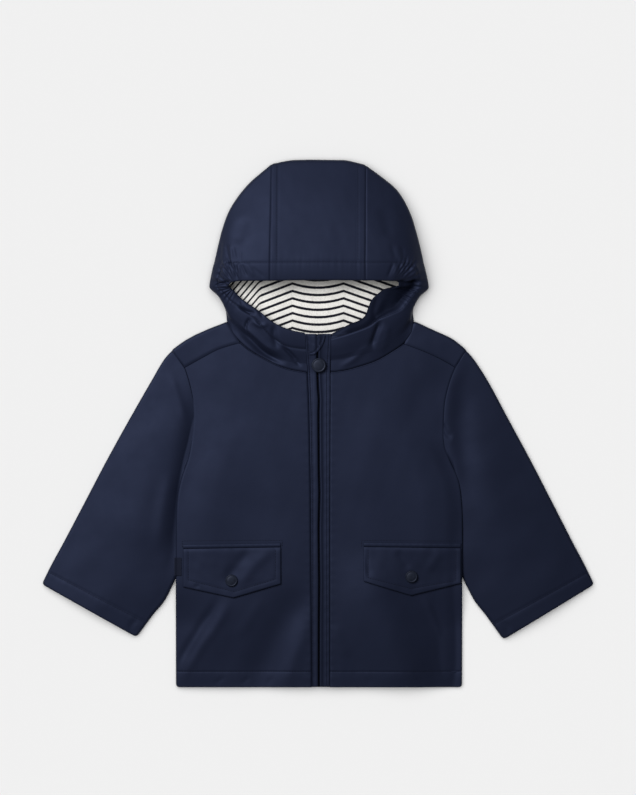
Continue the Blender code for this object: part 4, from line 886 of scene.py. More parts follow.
def front_panel(side):
    """A front panel between yoke seam, neck seam, zip welt, hem and side seam."""
    sides = body_sides()
    edge = list(zip(sides[side], sides["y"]))
    yokes = columns(YOKE_COLUMNS, fine(YOKES[side], 12))
    seams = list(zip(yokes["seam_x"], yokes["seam_y"] + TUCK))[::-1]
    hood = HOODS[side]
    collar = columns(HOOD_COLUMNS, spline(hood, np.linspace(NECK_ROW, len(hood) - 1, 60)))
    neck = list(zip(collar["seam_x"], collar["seam_y"] - 2 * SEAM_GAP))
    sign = -1 if side == "left" else 1
    welts = columns(WELT_COLUMNS, [row for row in WELTS if row[0] < COLLAR_Y + 2])
    welt = list(zip(welts[side] + sign * SEAM_GAP, welts["y"]))
    welt[0], welt[-1] = (welt[0][0], neck[-1][1]), (welt[-1][0], HEM_Y)
    top = [(edge[0][0], seams[0][1])] + seams[1:] + neck[1:-1] + [welt[0]]
    edge[0] = top[0]
    width = abs(edge[0][0] - welt[0][0])
    across = steps_between(0.0, width, 2.3, BODY_STEPS, (0, 0.3, 0.8, 1.5, 2.4, 3.6))
    down = panel_levels(top[0][1])
    grid = coons(path(top, 0), path([edge[-1], welt[-1]], 0), path(edge, 1), path(welt, 1),
                 across / width, down)
    x, y = grid[..., 0], grid[..., 1]
    from_top = down[:, None] * (grid[0, :, 1] - HEM_Y)[None, :]
    from_welt = np.abs(x - x[:, -1:])
    height = front_height(x, y) + hem_relief(x, y)
    tucked = 1.0 - smooth((from_top - TUCK + 0.3) / 0.9)
    at_collar = smooth((np.abs(seams[-1][0]) - np.abs(x)) / 2.0)
    height -= 1.9 * tucked * (1.0 - 0.5 * at_collar) + 0.8 * bump(from_welt, 0.8)
    height += 0.12 * np.sin(y * 0.55 + np.sin(y * 0.11)) * bump(from_welt, 6.0) * smooth(from_welt / 1.5)
    from_side = edge_distance(x, y)
    seam_z = np.minimum(margin_lift(x, y) + BODY_WALL + SIDE_GAP / 2.0 + SIDE_EDGE, height - 0.4)
    at_side_seam = seam_z + (height - seam_z) * quarter_round(from_side, SIDE_BEND)
    at_armhole = height - 0.5 * bump(from_side, 0.9)
    rolled = below_armhole(y)
    height = rolled * at_side_seam + (1.0 - rolled) * at_armhole
    low = np.maximum(height - hemmed_thickness(y - HEM_STITCH_Y), np.minimum(seam_z - 0.3, height - 0.3))
    return body_cloth("front_" + side, x, y, height, low)


def back_panel():
    """The back panel, flat on the floor between the sleeves' tucked edges."""
    sides = body_sides()
    left, right = (list(zip(sides[side], sides["y"])) for side in ("left", "right"))
    seams = {}
    for side in ("left", "right"):
        yokes = columns(YOKE_COLUMNS, fine(YOKES[side], 12))
        seams[side] = list(zip(yokes["low_x"], yokes["low_y"]))
    nape = [tuple(p) for p in fine(NAPE_SEAM, 6)]
    top = [(x, y - 2 * SEAM_GAP) for x, y in seams["left"][::-1] + nape + seams["right"]]
    top[0], top[-1] = (left[0][0], top[0][1]), (right[0][0], top[-1][1])
    left[0], right[0] = top[0], top[-1]
    width = right[0][0] - left[0][0]
    across = steps_between(0.0, width, 3.2, BODY_STEPS, BODY_STEPS)
    down = panel_levels(top[0][1])
    grid = coons(path(top, 0), path([left[-1], right[-1]], 0), path(left, 1), path(right, 1),
                 across / width, down)
    x, y = grid[..., 0], grid[..., 1]
    from_top = down[:, None] * (grid[0, :, 1] - HEM_Y)[None, :]
    from_stitch = y - HEM_STITCH_Y
    from_side = edge_distance(x, y)
    lift = margin_lift(x, y)
    seam_z = BODY_WALL + SIDE_GAP / 2.0
    lower = lift + 0.4 * bump(from_stitch, 1.3) + 0.5 * bump(from_top, 1.3)
    lower += (seam_z - SIDE_EDGE) * (1.0 - quarter_round(from_side, SIDE_BEND)) * below_armhole(y)
    upper = lower + hemmed_thickness(from_stitch)
    upper += 0.25 * (1.0 + unevenness(x, y, 40.0, 9)) * smooth(from_side / 6.0)
    upper = np.where(from_side < SIDE_BEND, np.minimum(upper, lift + seam_z), upper)
    return body_cloth("back", x, y, np.maximum(upper, lower + 0.25), lower)


def yoke(side):
    """A yoke: from its seam on the front over the shoulder fold to its seam on the back."""
    ends = (0, 0.02, 0.05, 0.1)
    rows = spline(YOKES[side], steps_between(0.0, 3.0, 0.09, ends, ends))
    sections = []
    for seam_x, seam_y, fold_x, fold_y, low_x, low_y in rows:
        control = [(seam_x, seam_y, front_height_at(seam_x, seam_y)), (fold_x, fold_y, 2 * SHOULDER_FOLD),
                   (fold_x, fold_y, 0.0), (low_x, low_y, 0.0)]
        sections.append(bend(control, (SHOULDER_FOLD, SHOULDER_FOLD), (12, 1, 10), (6, 6)))
    outer = np.array(sections)
    facing = normals(outer)
    if facing[len(facing) // 2, 6, 2] < 0:
        facing = -facing
    down, along = run_length(outer, 1), run_length(outer, 0)
    dips = bump(down, 1.0) + bump(down[:, -1:] - down, 1.0) * 0.4
    dips += bump(along, 1.0) + bump(along[-1:] - along, 0.8)
    relief = 0.15 * unevenness(outer[..., 0], outer[..., 1], 22.0, 12) - 0.7 * np.minimum(dips, 1.0)
    relief = np.where(facing[..., 2] < -0.2, np.minimum(relief, 0.0) * 0.5, relief)
    outer = outer + facing * relief[..., None]
    inner = outer - facing * cloth_thickness()
    return add_piece(f"yoke_{side}_cloth", wall(outer, inner), "coated cloth", "yoke_" + side)


def armhole_x(side, y):
    """The armhole seam between the shoulder fold and the underarm, as x against y."""
    sides = body_sides()
    yokes = columns(YOKE_COLUMNS, YOKES[side])
    return np.interp(-y, np.append(-yokes["fold_y"][-1], -sides["y"]),
                     np.append(yokes["fold_x"][-1], sides[side]))


def sleeve(side):
    """A sleeve: a flattened tube, rolled at both edges and open at armhole and cuff."""
    sign = -1 if side == "left" else 1
    over_x, over_y, under_x, under_y = SLEEVES[side][0]
    rolls = (0, 2.7, 3.6, 4.8)
    levels = steps_between(over_y, under_y, 2.4, rolls, rolls)
    shares = (over_y - levels) / (over_y - under_y)
    straight_x = over_x + (under_x - over_x) * shares
    bows = armhole_x(side, levels) - sign * 0.7 - straight_x
    rows = spline(SLEEVES[side], SLEEVE_RINGS)
    turns = np.radians(np.linspace(0.0, 180.0, 9))
    loops = {0: [], 1: []}
    for place, (over_x, over_y, under_x, under_y) in zip(SLEEVE_RINGS, rows):
        from_cuff = np.linalg.norm(rows[-1, :2] - (over_x, over_y))
        from_stitch = from_cuff - CUFF_STITCH
        chord = np.column_stack([over_x + (under_x - over_x) * shares,
                                 over_y + (under_y - over_y) * shares])
        chord[:, 0] += (1.0 - smooth(place / 4.5)) * bows
        way = (chord[-1] - chord[0]) / np.linalg.norm(chord[-1] - chord[0])
        chord += way * inset(from_cuff) * (1.0 - 2.0 * shares)[:, None]
        x, y = chord[:, 0], chord[:, 1]
        inside = smooth(shares / 0.1) * smooth((1 - shares) / 0.12)
        lift = SLEEVE_PUFF * np.sin(math.pi * shares) * (0.4 + 0.6 * smooth(place / 3.0))
        lift += (fold_height(SLEEVE_FOLDS[side], x, y) + 0.35 * unevenness(x, y, 70.0, 5)
                 + 0.05 * unevenness(x, y, 20.0, 6)) * inside
        edge = smooth(shares / 0.02) * smooth((1 - shares) / 0.02)
        sunk = 0.4 * bump(from_stitch, 0.9)
        band = 0.3 * (1.0 - smooth((from_stitch + 5.0) / 6.0)) - sunk
        band += 0.08 * np.sin(shares * 110.0 + 2.0 * np.sin(shares * 17.0)) * bump(from_stitch, 5.0)
        lift = np.clip(lift, *SLEEVE_RELIEF) + band * edge
        squeeze = 1.0 - 0.66 * bump(place, 0.1)
        cloth = hemmed_thickness(from_stitch)
        half_round = 1.0 - 0.98 * min(1.0, from_cuff / 0.8)
        closing = math.sqrt(max(0.0, 1.0 - half_round**2))
        for layer in (0, 1):
            depth = 0.5 * cloth + (1 if layer else -1) * 0.5 * cloth * closing
            radius = SLEEVE_FOLD - depth
            upper = np.column_stack([x[1:-1], y[1:-1], SLEEVE_FOLD + radius + lift[1:-1]])
            low = np.full(len(x) - 2, SLEEVE_FOLD - radius + sunk)
            under = np.column_stack([x[-2:0:-1], y[-2:0:-1], low])
            ends = []
            for corner, back in ((chord[-1], -way), (chord[0], way)):
                spot = corner + back * (SLEEVE_FOLD - radius * np.sin(turns))[:, None]
                ends.append(np.column_stack([spot, SLEEVE_FOLD + radius * np.cos(turns)]))
            loop = np.concatenate([upper, ends[0], under, ends[1][::-1]])
            loop[:, 2] = SLEEVE_FOLD + (loop[:, 2] - SLEEVE_FOLD) * squeeze
            loops[layer].append(loop)
    shape = wall(np.array(loops[0]), np.array(loops[1]), tube=True)
    return add_piece(f"sleeve_{side}_cloth", shape, "coated cloth", "sleeve_" + side)


# ---------------------------------------------------------------- hood
def section(row, pull):
    """One section of a hood panel, as points on its outer side."""
    named = dict(zip(HOOD_COLUMNS, row))
    edge = Vector((named["edge_x"], named["edge_y"], named["edge_z"]))
    stitch = Vector((named["stitch_x"], named["stitch_y"], named["stitch_z"]))
    top = Vector((named["fold_x"], named["fold_y"], named["top"]))
    seam = Vector((named["seam_x"], named["seam_y"], 0.0))
    on_front = float(smooth((named["low"] - 1.0) / 6.0))
    seam.z = on_front * front_height_at(seam.x, seam.y)
    middle = stitch.lerp(top, 0.5)
    middle.z += ROOF_RISE * (stitch - top).length
    low = Vector((top.x, top.y, named["low"]))
    low += (seam - top).xy.normalized().to_3d() * named["lap"]
    nape = low.lerp(seam, 0.6) + Vector((*pull, 0.0))
    fold = (named["top"] - named["low"]) / 2.0 + 6.0 * on_front
    bends = (CASING_BEND, ROOF_BEND, fold, fold, NAPE_BEND)
    walk = np.array(bend([edge, stitch, middle, top, low, nape, seam], bends, (CASING_STEPS, *ROOF_STEPS),
                         ROOF_ARCS))
    count = CASING_STEPS + ROOF_ARCS[0] // 2 + 1
    length = np.concatenate([[0.0], np.cumsum(np.linalg.norm(np.diff(walk[:count], axis=0), axis=1))])
    stops = np.array(CASING_SHARES) * length[-1]
    casing = np.column_stack([np.interp(stops, length, walk[:count, k]) for k in range(3)])
    return np.concatenate([casing, walk[count:]])


def hood_grid(table, places, side):
    """Outer side of a hood panel: a row of points for each place along the table."""
    sign = 1 if side == "left" else -1
    inwards, up = (np.interp(places, range(len(NAPE_PULL)), column) for column in zip(*NAPE_PULL))
    rows = spline(table, places)
    return np.array([section(row, pull) for row, pull in zip(rows, zip(sign * inwards, up))])


def centre_grid(places):
    """Outer side of the hood's centre panel, from its left seam at 0 to its right seam at 4."""
    lean, _ = NAPE_PULL[0]
    leans = spline([[lean * share] for share in (1.0, 0.5, 0.0, -0.5, -1.0)], places)[:, 0]
    rows = spline([HOODS["left"][0], *CENTRE_MID, HOODS["right"][0]], places)
    return np.array([section(row, (x, 0.0)) for row, x in zip(rows, leans)])


def facing_out(grid, seams, times):
    """Normals that point out of the hood, evened along the rows and in the seam planes at seams.

    The rows next to a seam are moved a hair's breadth away from it.
    """
    for row in seams:
        away = run_length(grid if row == 0 else grid[::-1], 0)
        away = away if row == 0 else away[::-1]
        beside = grid[5 if row == 0 else -5, STITCH_POINT, 0]
        grid[..., 0] += math.copysign(0.03, beside - grid[row, STITCH_POINT, 0]) * np.exp(-away / 4.0)
    out = normals(grid)
    if out[2, STITCH_POINT + 11, 2] < 0:
        out = -out
    out = even(out, times)
    out[:, -24:] = even(out[:, -24:], 12, axis=1)
    out /= np.linalg.norm(out, axis=2, keepdims=True)
    for row in seams:
        out[row, :, 0] = 0.0
        out[row] /= np.linalg.norm(out[row], axis=1, keepdims=True)
    return out


def casing_relief(grid, from_stitch, amount):
    """Casing: puffed between edge and stitching, with its stitching sunk in and elastic gathers."""
    along = run_length(grid, 0)[:, STITCH_POINT, None]
    length = -from_stitch[:, :1]
    share = np.clip(1.0 + from_stitch / np.maximum(length, 1.0), 0.0, 1.0)
    puffed = np.where(from_stitch < 0.0, 0.7 * 4.0 * share * (1.0 - share), 0.0)
    gathers = np.sin(along * 1.05 + 2.2 * np.sin(along * 0.13)) + 0.6 * np.sin(along * 0.62 + 1.0)
    reach = bump(from_stitch, 7.0) + 0.6 * bump(from_stitch + 10.0, 8.0)
    return puffed - 0.7 * bump(from_stitch, 1.4) + amount * gathers * reach


def casing_thickness(from_stitch):
    """Thickness along a section: shell and facing on the casing, shell alone beyond."""
    cloth = cloth_thickness()
    return cloth + (SHELL + SEAM_GAP + LINING - cloth) * (1.0 - smooth((from_stitch - 1.5) / 3.0))


def hood_shell(node, grid, out, relief, from_stitch):
    """A hood panel from its grid and its relief along the normals, and its casing's stitching line."""
    outer = grid + out * relief[..., None]
    inner = outer - out * casing_thickness(from_stitch)[..., None]
    casing = outer[:, STITCH_POINT].copy(), out[:, STITCH_POINT].copy()
    shape = wall(*close_edge(outer, inner, run_length(grid, 1), 1.5))
    return add_piece(node + "_cloth", shape, "coated cloth", node), casing


def above_floor(grid, up, relief):
    """The relief of a hood panel, without what would push its underside into the floor."""
    return np.where((grid[..., 2] < 0.6) & (up < 0), np.minimum(relief, 0.0), relief)


def hood_side(side):
    """A side panel of the hood with its gathered casing."""
    table = HOODS[side]
    last = len(table) - 1
    places = np.concatenate([[0, 0.012, 0.03, 0.06, 0.1], np.linspace(0.15, LINED_TO, 112),
                             np.linspace(LINED_TO, 11.2, 64)[1:], np.linspace(11.2, last, 64)[1:]])
    grid = hood_grid(table, places, side)
    out = facing_out(grid, [0], 50)
    x, y, up = grid[..., 0], grid[..., 1], out[..., 2]
    length = run_length(grid, 1)
    from_stitch = length - length[:, STITCH_POINT, None]
    from_seam = run_length(grid, 0)
    amount = (0.42 * smooth((places - 2.2) / 1.2) * (1.0 - smooth((places - 8.4) / 1.4)))[:, None]
    relief = casing_relief(grid, from_stitch, amount)
    if side == "right":     # the casing's edge is turned out here; further down its inner strip gets painted shade
        share = 1.0 + from_stitch / np.maximum(-from_stitch[:, :1], 1.0)
        turned = (smooth((places - 5.4) / 1.4) * (1.0 - smooth((places - 14.6) / 1.4)))[:, None]
        rim, valley = 3.4 * (1.0 - smooth(share / 0.6)), 4.0 * bump(share - REVERSE_SHARE, 0.17)
        relief += turned * (rim - valley) * (share < 1.0)
    relief += fold_height(HOOD_FOLDS, x, y) * smooth(up / 0.35)
    uneven = 0.3 * unevenness(x, y, 60.0, 21) + 0.05 * unevenness(x, y, 18.0, 22)
    relief += uneven * smooth(from_stitch / 10.0)
    relief -= 0.6 * bump(from_seam, 0.8) * (1.0 - 0.5 * (up < -0.3))
    relief -= 0.5 * bump(length[:, -1:] - length, 0.9)
    piece, casing = hood_shell("hood_side_" + side, grid, out, above_floor(grid, up, relief), from_stitch)
    # painted shade: the turned-out strip is marked so that the cloth's shader darkens and dulls it, standing
    # in for the shade under the brim
    if side == "right":
        painted_shade = (turned * (1.0 - smooth((share - REVERSE_SHARE) / 0.2))).ravel()
        shade_attribute = piece.data.attributes.new("painted_shade", "FLOAT", "POINT")
        shade_attribute.data.foreach_set("value", np.concatenate([painted_shade, painted_shade]).astype(np.float32))
    return piece, casing


def hood_centre():
    """The centre panel of the hood, from the brim over the crown to the nape."""
    places = np.concatenate([[0, 0.012, 0.035, 0.07, 0.11], np.linspace(0.15, 3.85, 66),
                             [3.89, 3.93, 3.965, 3.988, 4]])
    grid = centre_grid(places)
    out = facing_out(grid, [0, -1], 10)
    x, y, up = grid[..., 0], grid[..., 1], out[..., 2]
    length, across = run_length(grid, 1), run_length(grid, 0)
    from_stitch = length - length[:, STITCH_POINT, None]
    relief = casing_relief(grid, from_stitch, 0.05)
    for distance, stitched in ((across, TOPSTITCH["left"]), (across[-1:] - across, TOPSTITCH["right"])):
        relief -= 0.6 * bump(distance, 0.8)
        relief += 0.12 * smooth(distance / 1.8) * (1.0 - smooth((distance - stitched + 0.8) / 1.4))
        relief -= 0.25 * bump(distance - stitched, 0.8)
    uneven = 0.3 * unevenness(x, y, 64.0, 31) + 0.05 * unevenness(x, y, 18.0, 32)
    relief += uneven * smooth(from_stitch / 10.0)
    return hood_shell("hood_centre", grid, out, above_floor(grid, up, relief), from_stitch)


def stripe_place(x, y):
    """Where a point of the lining lies across its stripes, which run straight in each panel's cut."""
    seam, crease = 29.3, -67.0
    inside = -4.8 * np.clip(1.0 - (x / seam) ** 2, 0.0, 1.0)
    leftwards = 0.38 * np.clip(-seam - x, 0.0, None) + 0.8 * np.clip(crease - x, 0.0, None)
    rightwards = 0.35 * np.clip(x - seam, 0.0, None)
    return y + 0.2 - inside + leftwards + rightwards


def hood_lining(node, grid, out):
    """The lining of a hood panel, from the casing to the neck seam."""
    thick = bpy.context.scene.raincoat_sizes.jersey / MM
    keep = slice(STITCH_POINT + 4, None)
    grid, out = grid[:, keep], out[:, keep]
    x, y = grid[..., 0], grid[..., 1]
    relief = fold_height(LINING_FOLDS, x, y) + 0.35 * unevenness(x, y, 24.0, 41)
    relief = np.clip(relief, -1.6, 0.9) * smooth(-out[..., 2] / 0.4)
    outer = grid - out * (SHELL + SEAM_GAP + 0.2 + relief[..., None])
    inner = outer - out * thick
    cut = np.dstack([x, stripe_place(x, y), np.zeros_like(x)]).reshape(-1, 3)
    return add_piece(node + "_jersey", wall(outer, inner), "striped jersey", node, np.concatenate([cut, cut]))


# ---------------------------------------------------------------- pieces on the fronts
def welt_row(y):
    """Outer edges, slit and height of the zip welts at y."""
    welts = columns(WELT_COLUMNS, WELTS)
    left, slit, right, height = (np.interp(-y, -welts["y"], welts[name]) for name in WELT_COLUMNS[1:])
    if y < COLLAR_Y:
        height = front_height_at(slit, y)
    return left, slit, right, height


def welt_stitch(side, left, y):
    """x of the stitching on a zip welt, from the left welt's outer edge at y."""
    if side == "left":
        return left + 2.4 - 1.2 * float(smooth((60.0 - y) / 360.0))
    return 10.4 + max(0.0, (y - 60.0) * 0.06)


def zip_welt(side):
    """A welt beside the slit, from the top of the collar to the hem."""
    outer, inner = [], []
    for y in steps_between(WELT_TOP, WELT_END, 2.2, (0, 0.4, 1.0, 1.8), (0, 0.3, 0.7, 1.3, 2.2)):
        left, slit, right, height = welt_row(y)
        wave = 0.12 * math.sin(y * 0.5 + math.sin(y * 0.07))
        stitch = welt_stitch(side, left, y)
        if side == "left":
            end = slit - SLIT / 2.0
            step = max(stitch + 0.9, -6.9)
            knots = [left, left + 0.3, stitch - 0.7, stitch, stitch + 0.7, step, step + 0.9, step + 2.2,
                     end - 1.4, end - 0.6, end - 0.2, end]
            rises = [-0.45, 0.1, 0.25, -0.25, 0.2, 0.2, 0.8, 1.05, 1.1, 0.85, 0.4, -0.3]
        else:
            start = slit + SLIT / 2.0
            knots = [start, start + 0.2, start + 0.6, start + 1.4, start + 2.4, start + 3.6, stitch - 2.4,
                     stitch - 0.7, stitch, stitch + 0.7, right - 0.3, right]
            rises = [-0.3, 0.4, 0.85, 1.05, 0.7, 0.05, 0.0, 0.3, -0.2, 0.3, 0.15, -0.45]
        x = np.concatenate([np.linspace(a, b, 3)[:-1] for a, b in zip(knots, knots[1:])] + [[knots[-1]]])
        rise = np.interp(x, knots, rises)
        rise[1:-1] = (rise[:-2] + 2 * rise[1:-1] + rise[2:]) / 4.0
        rise += wave * bump(x - stitch, 3.0)
        outer.append(np.column_stack([x, np.full(len(x), y), height + rise]))
        inner.append(np.column_stack([x, np.full(len(x), y), np.full(len(x), height - WELT_WALL + 0.2)]))
    outer, inner = np.array(outer), np.array(inner)
    from_end = np.minimum(WELT_TOP - outer[..., 1], outer[..., 1] - WELT_END)
    shape = wall(*close_edge(outer, inner, from_end, 1.1))
    return add_piece(f"welt_{side}_cloth", shape, "coated cloth", "welt_" + side)


def zip_place(y):
    """Middle of the zip at y and the height of its tape."""
    _, slit, _, height = welt_row(y)
    return slit, height - WELT_WALL - SEAM_GAP - ZIP_WALL


def zip_tape():
    """Zip tape behind the slit of the welts."""
    x = np.linspace(-12.0, 12.0, 25)
    rib = 0.25 * bump(np.abs(x) - 3.4, 0.8)
    rows = []
    for y in steps_between(102.6, -300.0, 6.0, (0, 2), (0, 2)):
        middle, base = zip_place(y)
        rows.append(np.column_stack([middle + x, np.full(len(x), y), base + rib]))
    outer = np.array(rows)
    return add_piece("zip_tape", wall(outer, outer - (0.0, 0.0, 0.6)), "woven tape", "zip")


def zip_teeth():
    """The zip's chain: teeth that reach across the middle from either side in turn."""
    shapes = []
    for k, y in enumerate(np.arange(95.0, -299.0, -1.25)):
        middle, base = zip_place(y)
        way = 1.0 if k % 2 else -1.0
        rings = []
        for x, half, top in ((-2.1, 0.36, 0.45), (-1.2, 0.34, 0.75), (0.1, 0.42, 0.8), (0.75, 0.26, 0.55)):
            rings += [(middle + way * x, y + side * half, base + z)
                      for side, z in ((-1, 0.02), (-1, top), (1, top), (1, 0.02))]
        shapes.append((np.array(rings), ring_faces(4, 4)))
    return add_piece("zip_teeth", joined(shapes), "sewing thread", "zip", sharp=50.0)


def flap(side):
    """A pocket's pointed flap, stitched a little way in from its edges."""
    rows = columns(POCKET_COLUMNS, POCKETS[side])
    ends = (0, 0.2, 0.55, 1.0, 1.6)
    xs = steps_between(rows["x"][0], rows["x"][-1], 1.5, ends, ends)
    top = np.interp(xs, rows["x"], rows["top_y"])
    low = np.interp(xs, rows["x"], rows["low_y"])
    down = steps_between(0.0, 1.0, 0.028, (0, 0.01, 0.025), (0, 0.004, 0.011, 0.02, 0.032))
    y = top[None, :] + (low - top)[None, :] * down[:, None]
    x = np.broadcast_to(xs, y.shape)
    corners = [(rows["x"][k], rows["low_y"][k]) for k in range(3)]
    from_edge = np.minimum(line_distance(corners, x, y), np.minimum(x - xs[0], xs[-1] - x))
    from_line = line_distance(FLAP_STITCHES[side], x, y)
    relief = 0.12 * smooth(from_edge / 1.5) * (1.0 - smooth((from_edge - 4.6) / 1.6))
    relief -= 0.25 * bump(from_line, 0.8)
    relief += fold_height(FLAP_FOLDS, x, y) * smooth(from_edge / 5.0) + 0.1 * unevenness(x, y, 16.0, 51)
    stand = np.interp(down, (0, 0.1, 0.6, 1.0), (0.0, 0.2, 0.3, 0.7))[:, None]
    base = front_height(x, y) + SEAM_GAP + stand
    upper = base + 1.6 + relief - 0.5 * bump((y - top[None, :]), 1.4)
    shape = layer(x, y, upper, np.minimum(base, upper - 0.5), from_edge, 1.0)
    return add_piece(f"pocket_flap_{side}_cloth", shape, "coated cloth", "pocket_flap_" + side)


def pocket_welt(side):
    """The folded strip above a pocket's flap."""
    rows = columns(POCKET_COLUMNS, POCKETS[side])
    ends = (0, 0.2, 0.55, 1.0)
    xs = steps_between(rows["x"][0], rows["x"][-1], 2.0, ends, ends)
    strip = np.interp(xs, rows["x"], rows["strip_y"])
    top = np.interp(xs, rows["x"], rows["top_y"]) + SEAM_GAP
    down = np.array([0, 0.04, 0.1, 0.2, 0.32, 0.45, 0.6, 0.75, 0.88, 0.95, 1.0])
    y = strip[None, :] + (top - strip)[None, :] * down[:, None]
    x = np.broadcast_to(xs, y.shape)
    base = front_height(x, y) + 0.15
    crown = np.sqrt(np.clip(1.0 - (2.0 * down - 1.0) ** 2, 0.0, 1.0))[:, None]
    upper = base + 0.35 + 0.95 * crown + 0.06 * np.sin(x * 0.8)
    shape = layer(x, y, upper, base, np.minimum(x - xs[0], xs[-1] - x), 0.8)
    return add_piece(f"pocket_welt_{side}_cloth", shape, "coated cloth", "pocket_welt_" + side)


def stud(node, seat, x, y, radius):
    """A press stud's cap: a domed disc with a rolled rim and a groove inside it."""
    heights = [seat.at(x + radius * 0.8 * math.cos(a), y + radius * 0.8 * math.sin(a))
               for a in np.radians(np.arange(0, 360, 30))]
    base = max(hit[0].z / MM for hit in heights if hit) + 0.1
    turns = np.radians(np.arange(STUD_SIDES) * 360.0 / STUD_SIDES)
    rings = [np.column_stack([x + radius * r * np.cos(turns), y + radius * r * np.sin(turns),
                              np.full(STUD_SIDES, base + STUD_HEIGHT * h)]) for r, h in STUD_SECTION]
    shape = np.concatenate(rings), ring_faces(len(rings), STUD_SIDES)
    return add_piece(node + "_cap", shape, "lacquer", node, sharp=60.0)


def laid_patch(name, grid, seat, edges, lines, thick, finish_name, node):
    """A small patch laid on other pieces, with rounded edges and its stitching sunk in."""
    hits = [[seat.at(*place) for place in row] for row in grid]
    raw = np.array([[hit[0].z / MM if hit else BARE_SEAT for hit in row] for row in hits])
    base = np.maximum(even(even(raw, 12), 12, 1), raw) + 0.15
    x, y = grid[..., 0], grid[..., 1]
    upper = base + thick + 0.1 * unevenness(x, y, 7.0, 61)
    if lines:
        upper = upper - 0.4 * bump(line_distance(lines, x, y), 0.9)
    return add_piece(name, layer(x, y, upper, base, line_distance(edges, x, y), 0.8), finish_name, node)


def chin_guard(seat):
    """The chin guard: a small curved patch over the zip's top end."""
    rows = spline(CHIN_GUARD, np.linspace(0, 3, 34))
    shares = steps_between(0.0, 1.0, 0.05, (0, 0.012, 0.03), (0, 0.012, 0.03, 0.06))
    grid = np.array([[(x0 + (x1 - x0) * s, y) for s in shares] for x0, y, x1 in rows])
    edges = [(rows[0, 0], rows[0, 1]), (rows[-1, 0], rows[-1, 1])] + [(x1, y) for _, y, x1 in rows[::-1]]
    edges.append(edges[0])
    return laid_patch("chin_guard_cloth", grid, seat, edges, CHIN_STITCHES, 1.3, "coated cloth", "chin_guard")


def side_tag(seat):
    """A small folded woven tag caught in the left side seam, left plain."""
    outer_x, inner_x, upper_y, lower_y = TAG
    grid = np.array([[(outer_x + (inner_x - outer_x) * s, upper_y + (lower_y - upper_y) * t)
                      for s in np.linspace(0, 1, 12)] for t in np.linspace(0, 1, 26)])
    edges = [(outer_x, upper_y), (outer_x, lower_y)]
    return laid_patch("side_tag_ribbon", grid, seat, edges, None, 0.9, "woven tape", "side_tag")


# ---------------------------------------------------------------- stage
def light(name, kind, place, lit, **settings):
    """Hang a lamp at a place, aim it at the coat and let it light only the given objects."""
    lamp = bpy.data.lights.new(name, kind)
    for setting, value in settings.items():
        setattr(lamp, setting, value)
    made = bpy.data.objects.new(name, lamp)
    made.location = place
    made.rotation_euler = Vector(place).to_track_quat("Z", "Y").to_euler()
    bpy.context.scene.collection.objects.link(made)
    made.light_linking.receiver_collection = bpy.data.collections.new("lit by the " + name)
    for each in lit:
        made.light_linking.receiver_collection.objects.link(each)


# ---------------------------------------------------------------- operators
def found(*names):
    """Pieces that other operators have made."""
    missing = [name for name in names if name not in bpy.data.objects]
    if missing:
        raise RuntimeError("make these first: " + ", ".join(missing))
    return [bpy.data.objects[name] for name in names]


class RAINCOAT_OT_body(bpy.types.Operator):
    """Cut the back and both fronts, and sew the hem"""

    bl_idname = "raincoat.body"
    bl_label = "Body"

    def execute(self, context):
        y, left, right = HEM_STITCH_Y, -160.6, 162.8
        back = back_panel()
        fronts = [front_panel(side) for side in ("left", "right")]
        for side, front, start, end in zip(("left", "right"), fronts, (left, 15.4), (-9.0, right)):
            sew(f"front_{side}_stitching", [Lay(front).line([(start, y), (end, y)])], "front_" + side)
        sew("back_stitching", [Lay(back).line([(left, y), (right, y)], under=True)], "back")
        return {"FINISHED"}


class RAINCOAT_OT_yokes(bpy.types.Operator):
    """Cut both yokes, which go over the shoulders"""

    bl_idname = "raincoat.yokes"
    bl_label = "Yokes"

    def execute(self, context):
        for side in ("left", "right"):
            yoke(side)
        return {"FINISHED"}


class RAINCOAT_OT_sleeves(bpy.types.Operator):
    """Make both sleeves and sew their cuffs"""

    bl_idname = "raincoat.sleeves"
    bl_label = "Sleeves"

    def execute(self, context):
        for side in ("left", "right"):
            made = sleeve(side)
            over, under = np.array(SLEEVES[side][-1][:2]), np.array(SLEEVES[side][-1][2:])
            before = np.array(SLEEVES[side][-2])
            length = np.linalg.norm(over - before[:2])
            ends = []
            for corner, earlier in ((over, before[:2]), (under, before[2:])):
                ends.append(corner + (earlier - corner) * CUFF_STITCH / length)
            way = (ends[1] - ends[0]) / np.linalg.norm(ends[1] - ends[0])
            line = [ends[0] + 2.0 * way, ends[1] - 2.0 * way]
            lay = Lay(made)
            sew(f"sleeve_{side}_stitching", [lay.line(line), lay.line(line, under=True)], "sleeve_" + side)
        return {"FINISHED"}


class RAINCOAT_OT_hood(bpy.types.Operator):
    """Make the hood's three panels and sew casing and seams"""

    bl_idname = "raincoat.hood"
    bl_label = "Hood"

    def execute(self, context):
        for side in ("left", "right"):
            _, casing = hood_side(side)
            sew(f"hood_side_{side}_stitching", [casing], "hood_side_" + side)
        centre, casing = hood_centre()
        lay = Lay(centre)
        rows = [casing]
        for sign, side in ((-1, "left"), (1, "right")):
            x = sign * (CENTRE_HALF - TOPSTITCH[side])
            rows.append(lay.line([(x, 299.5), (x, 187.0)]))
            rows.append(lay.line([(x, 299.5), (x, 200.0)], under=True))
        sew("hood_centre_stitching", rows, "hood_centre")
        return {"FINISHED"}


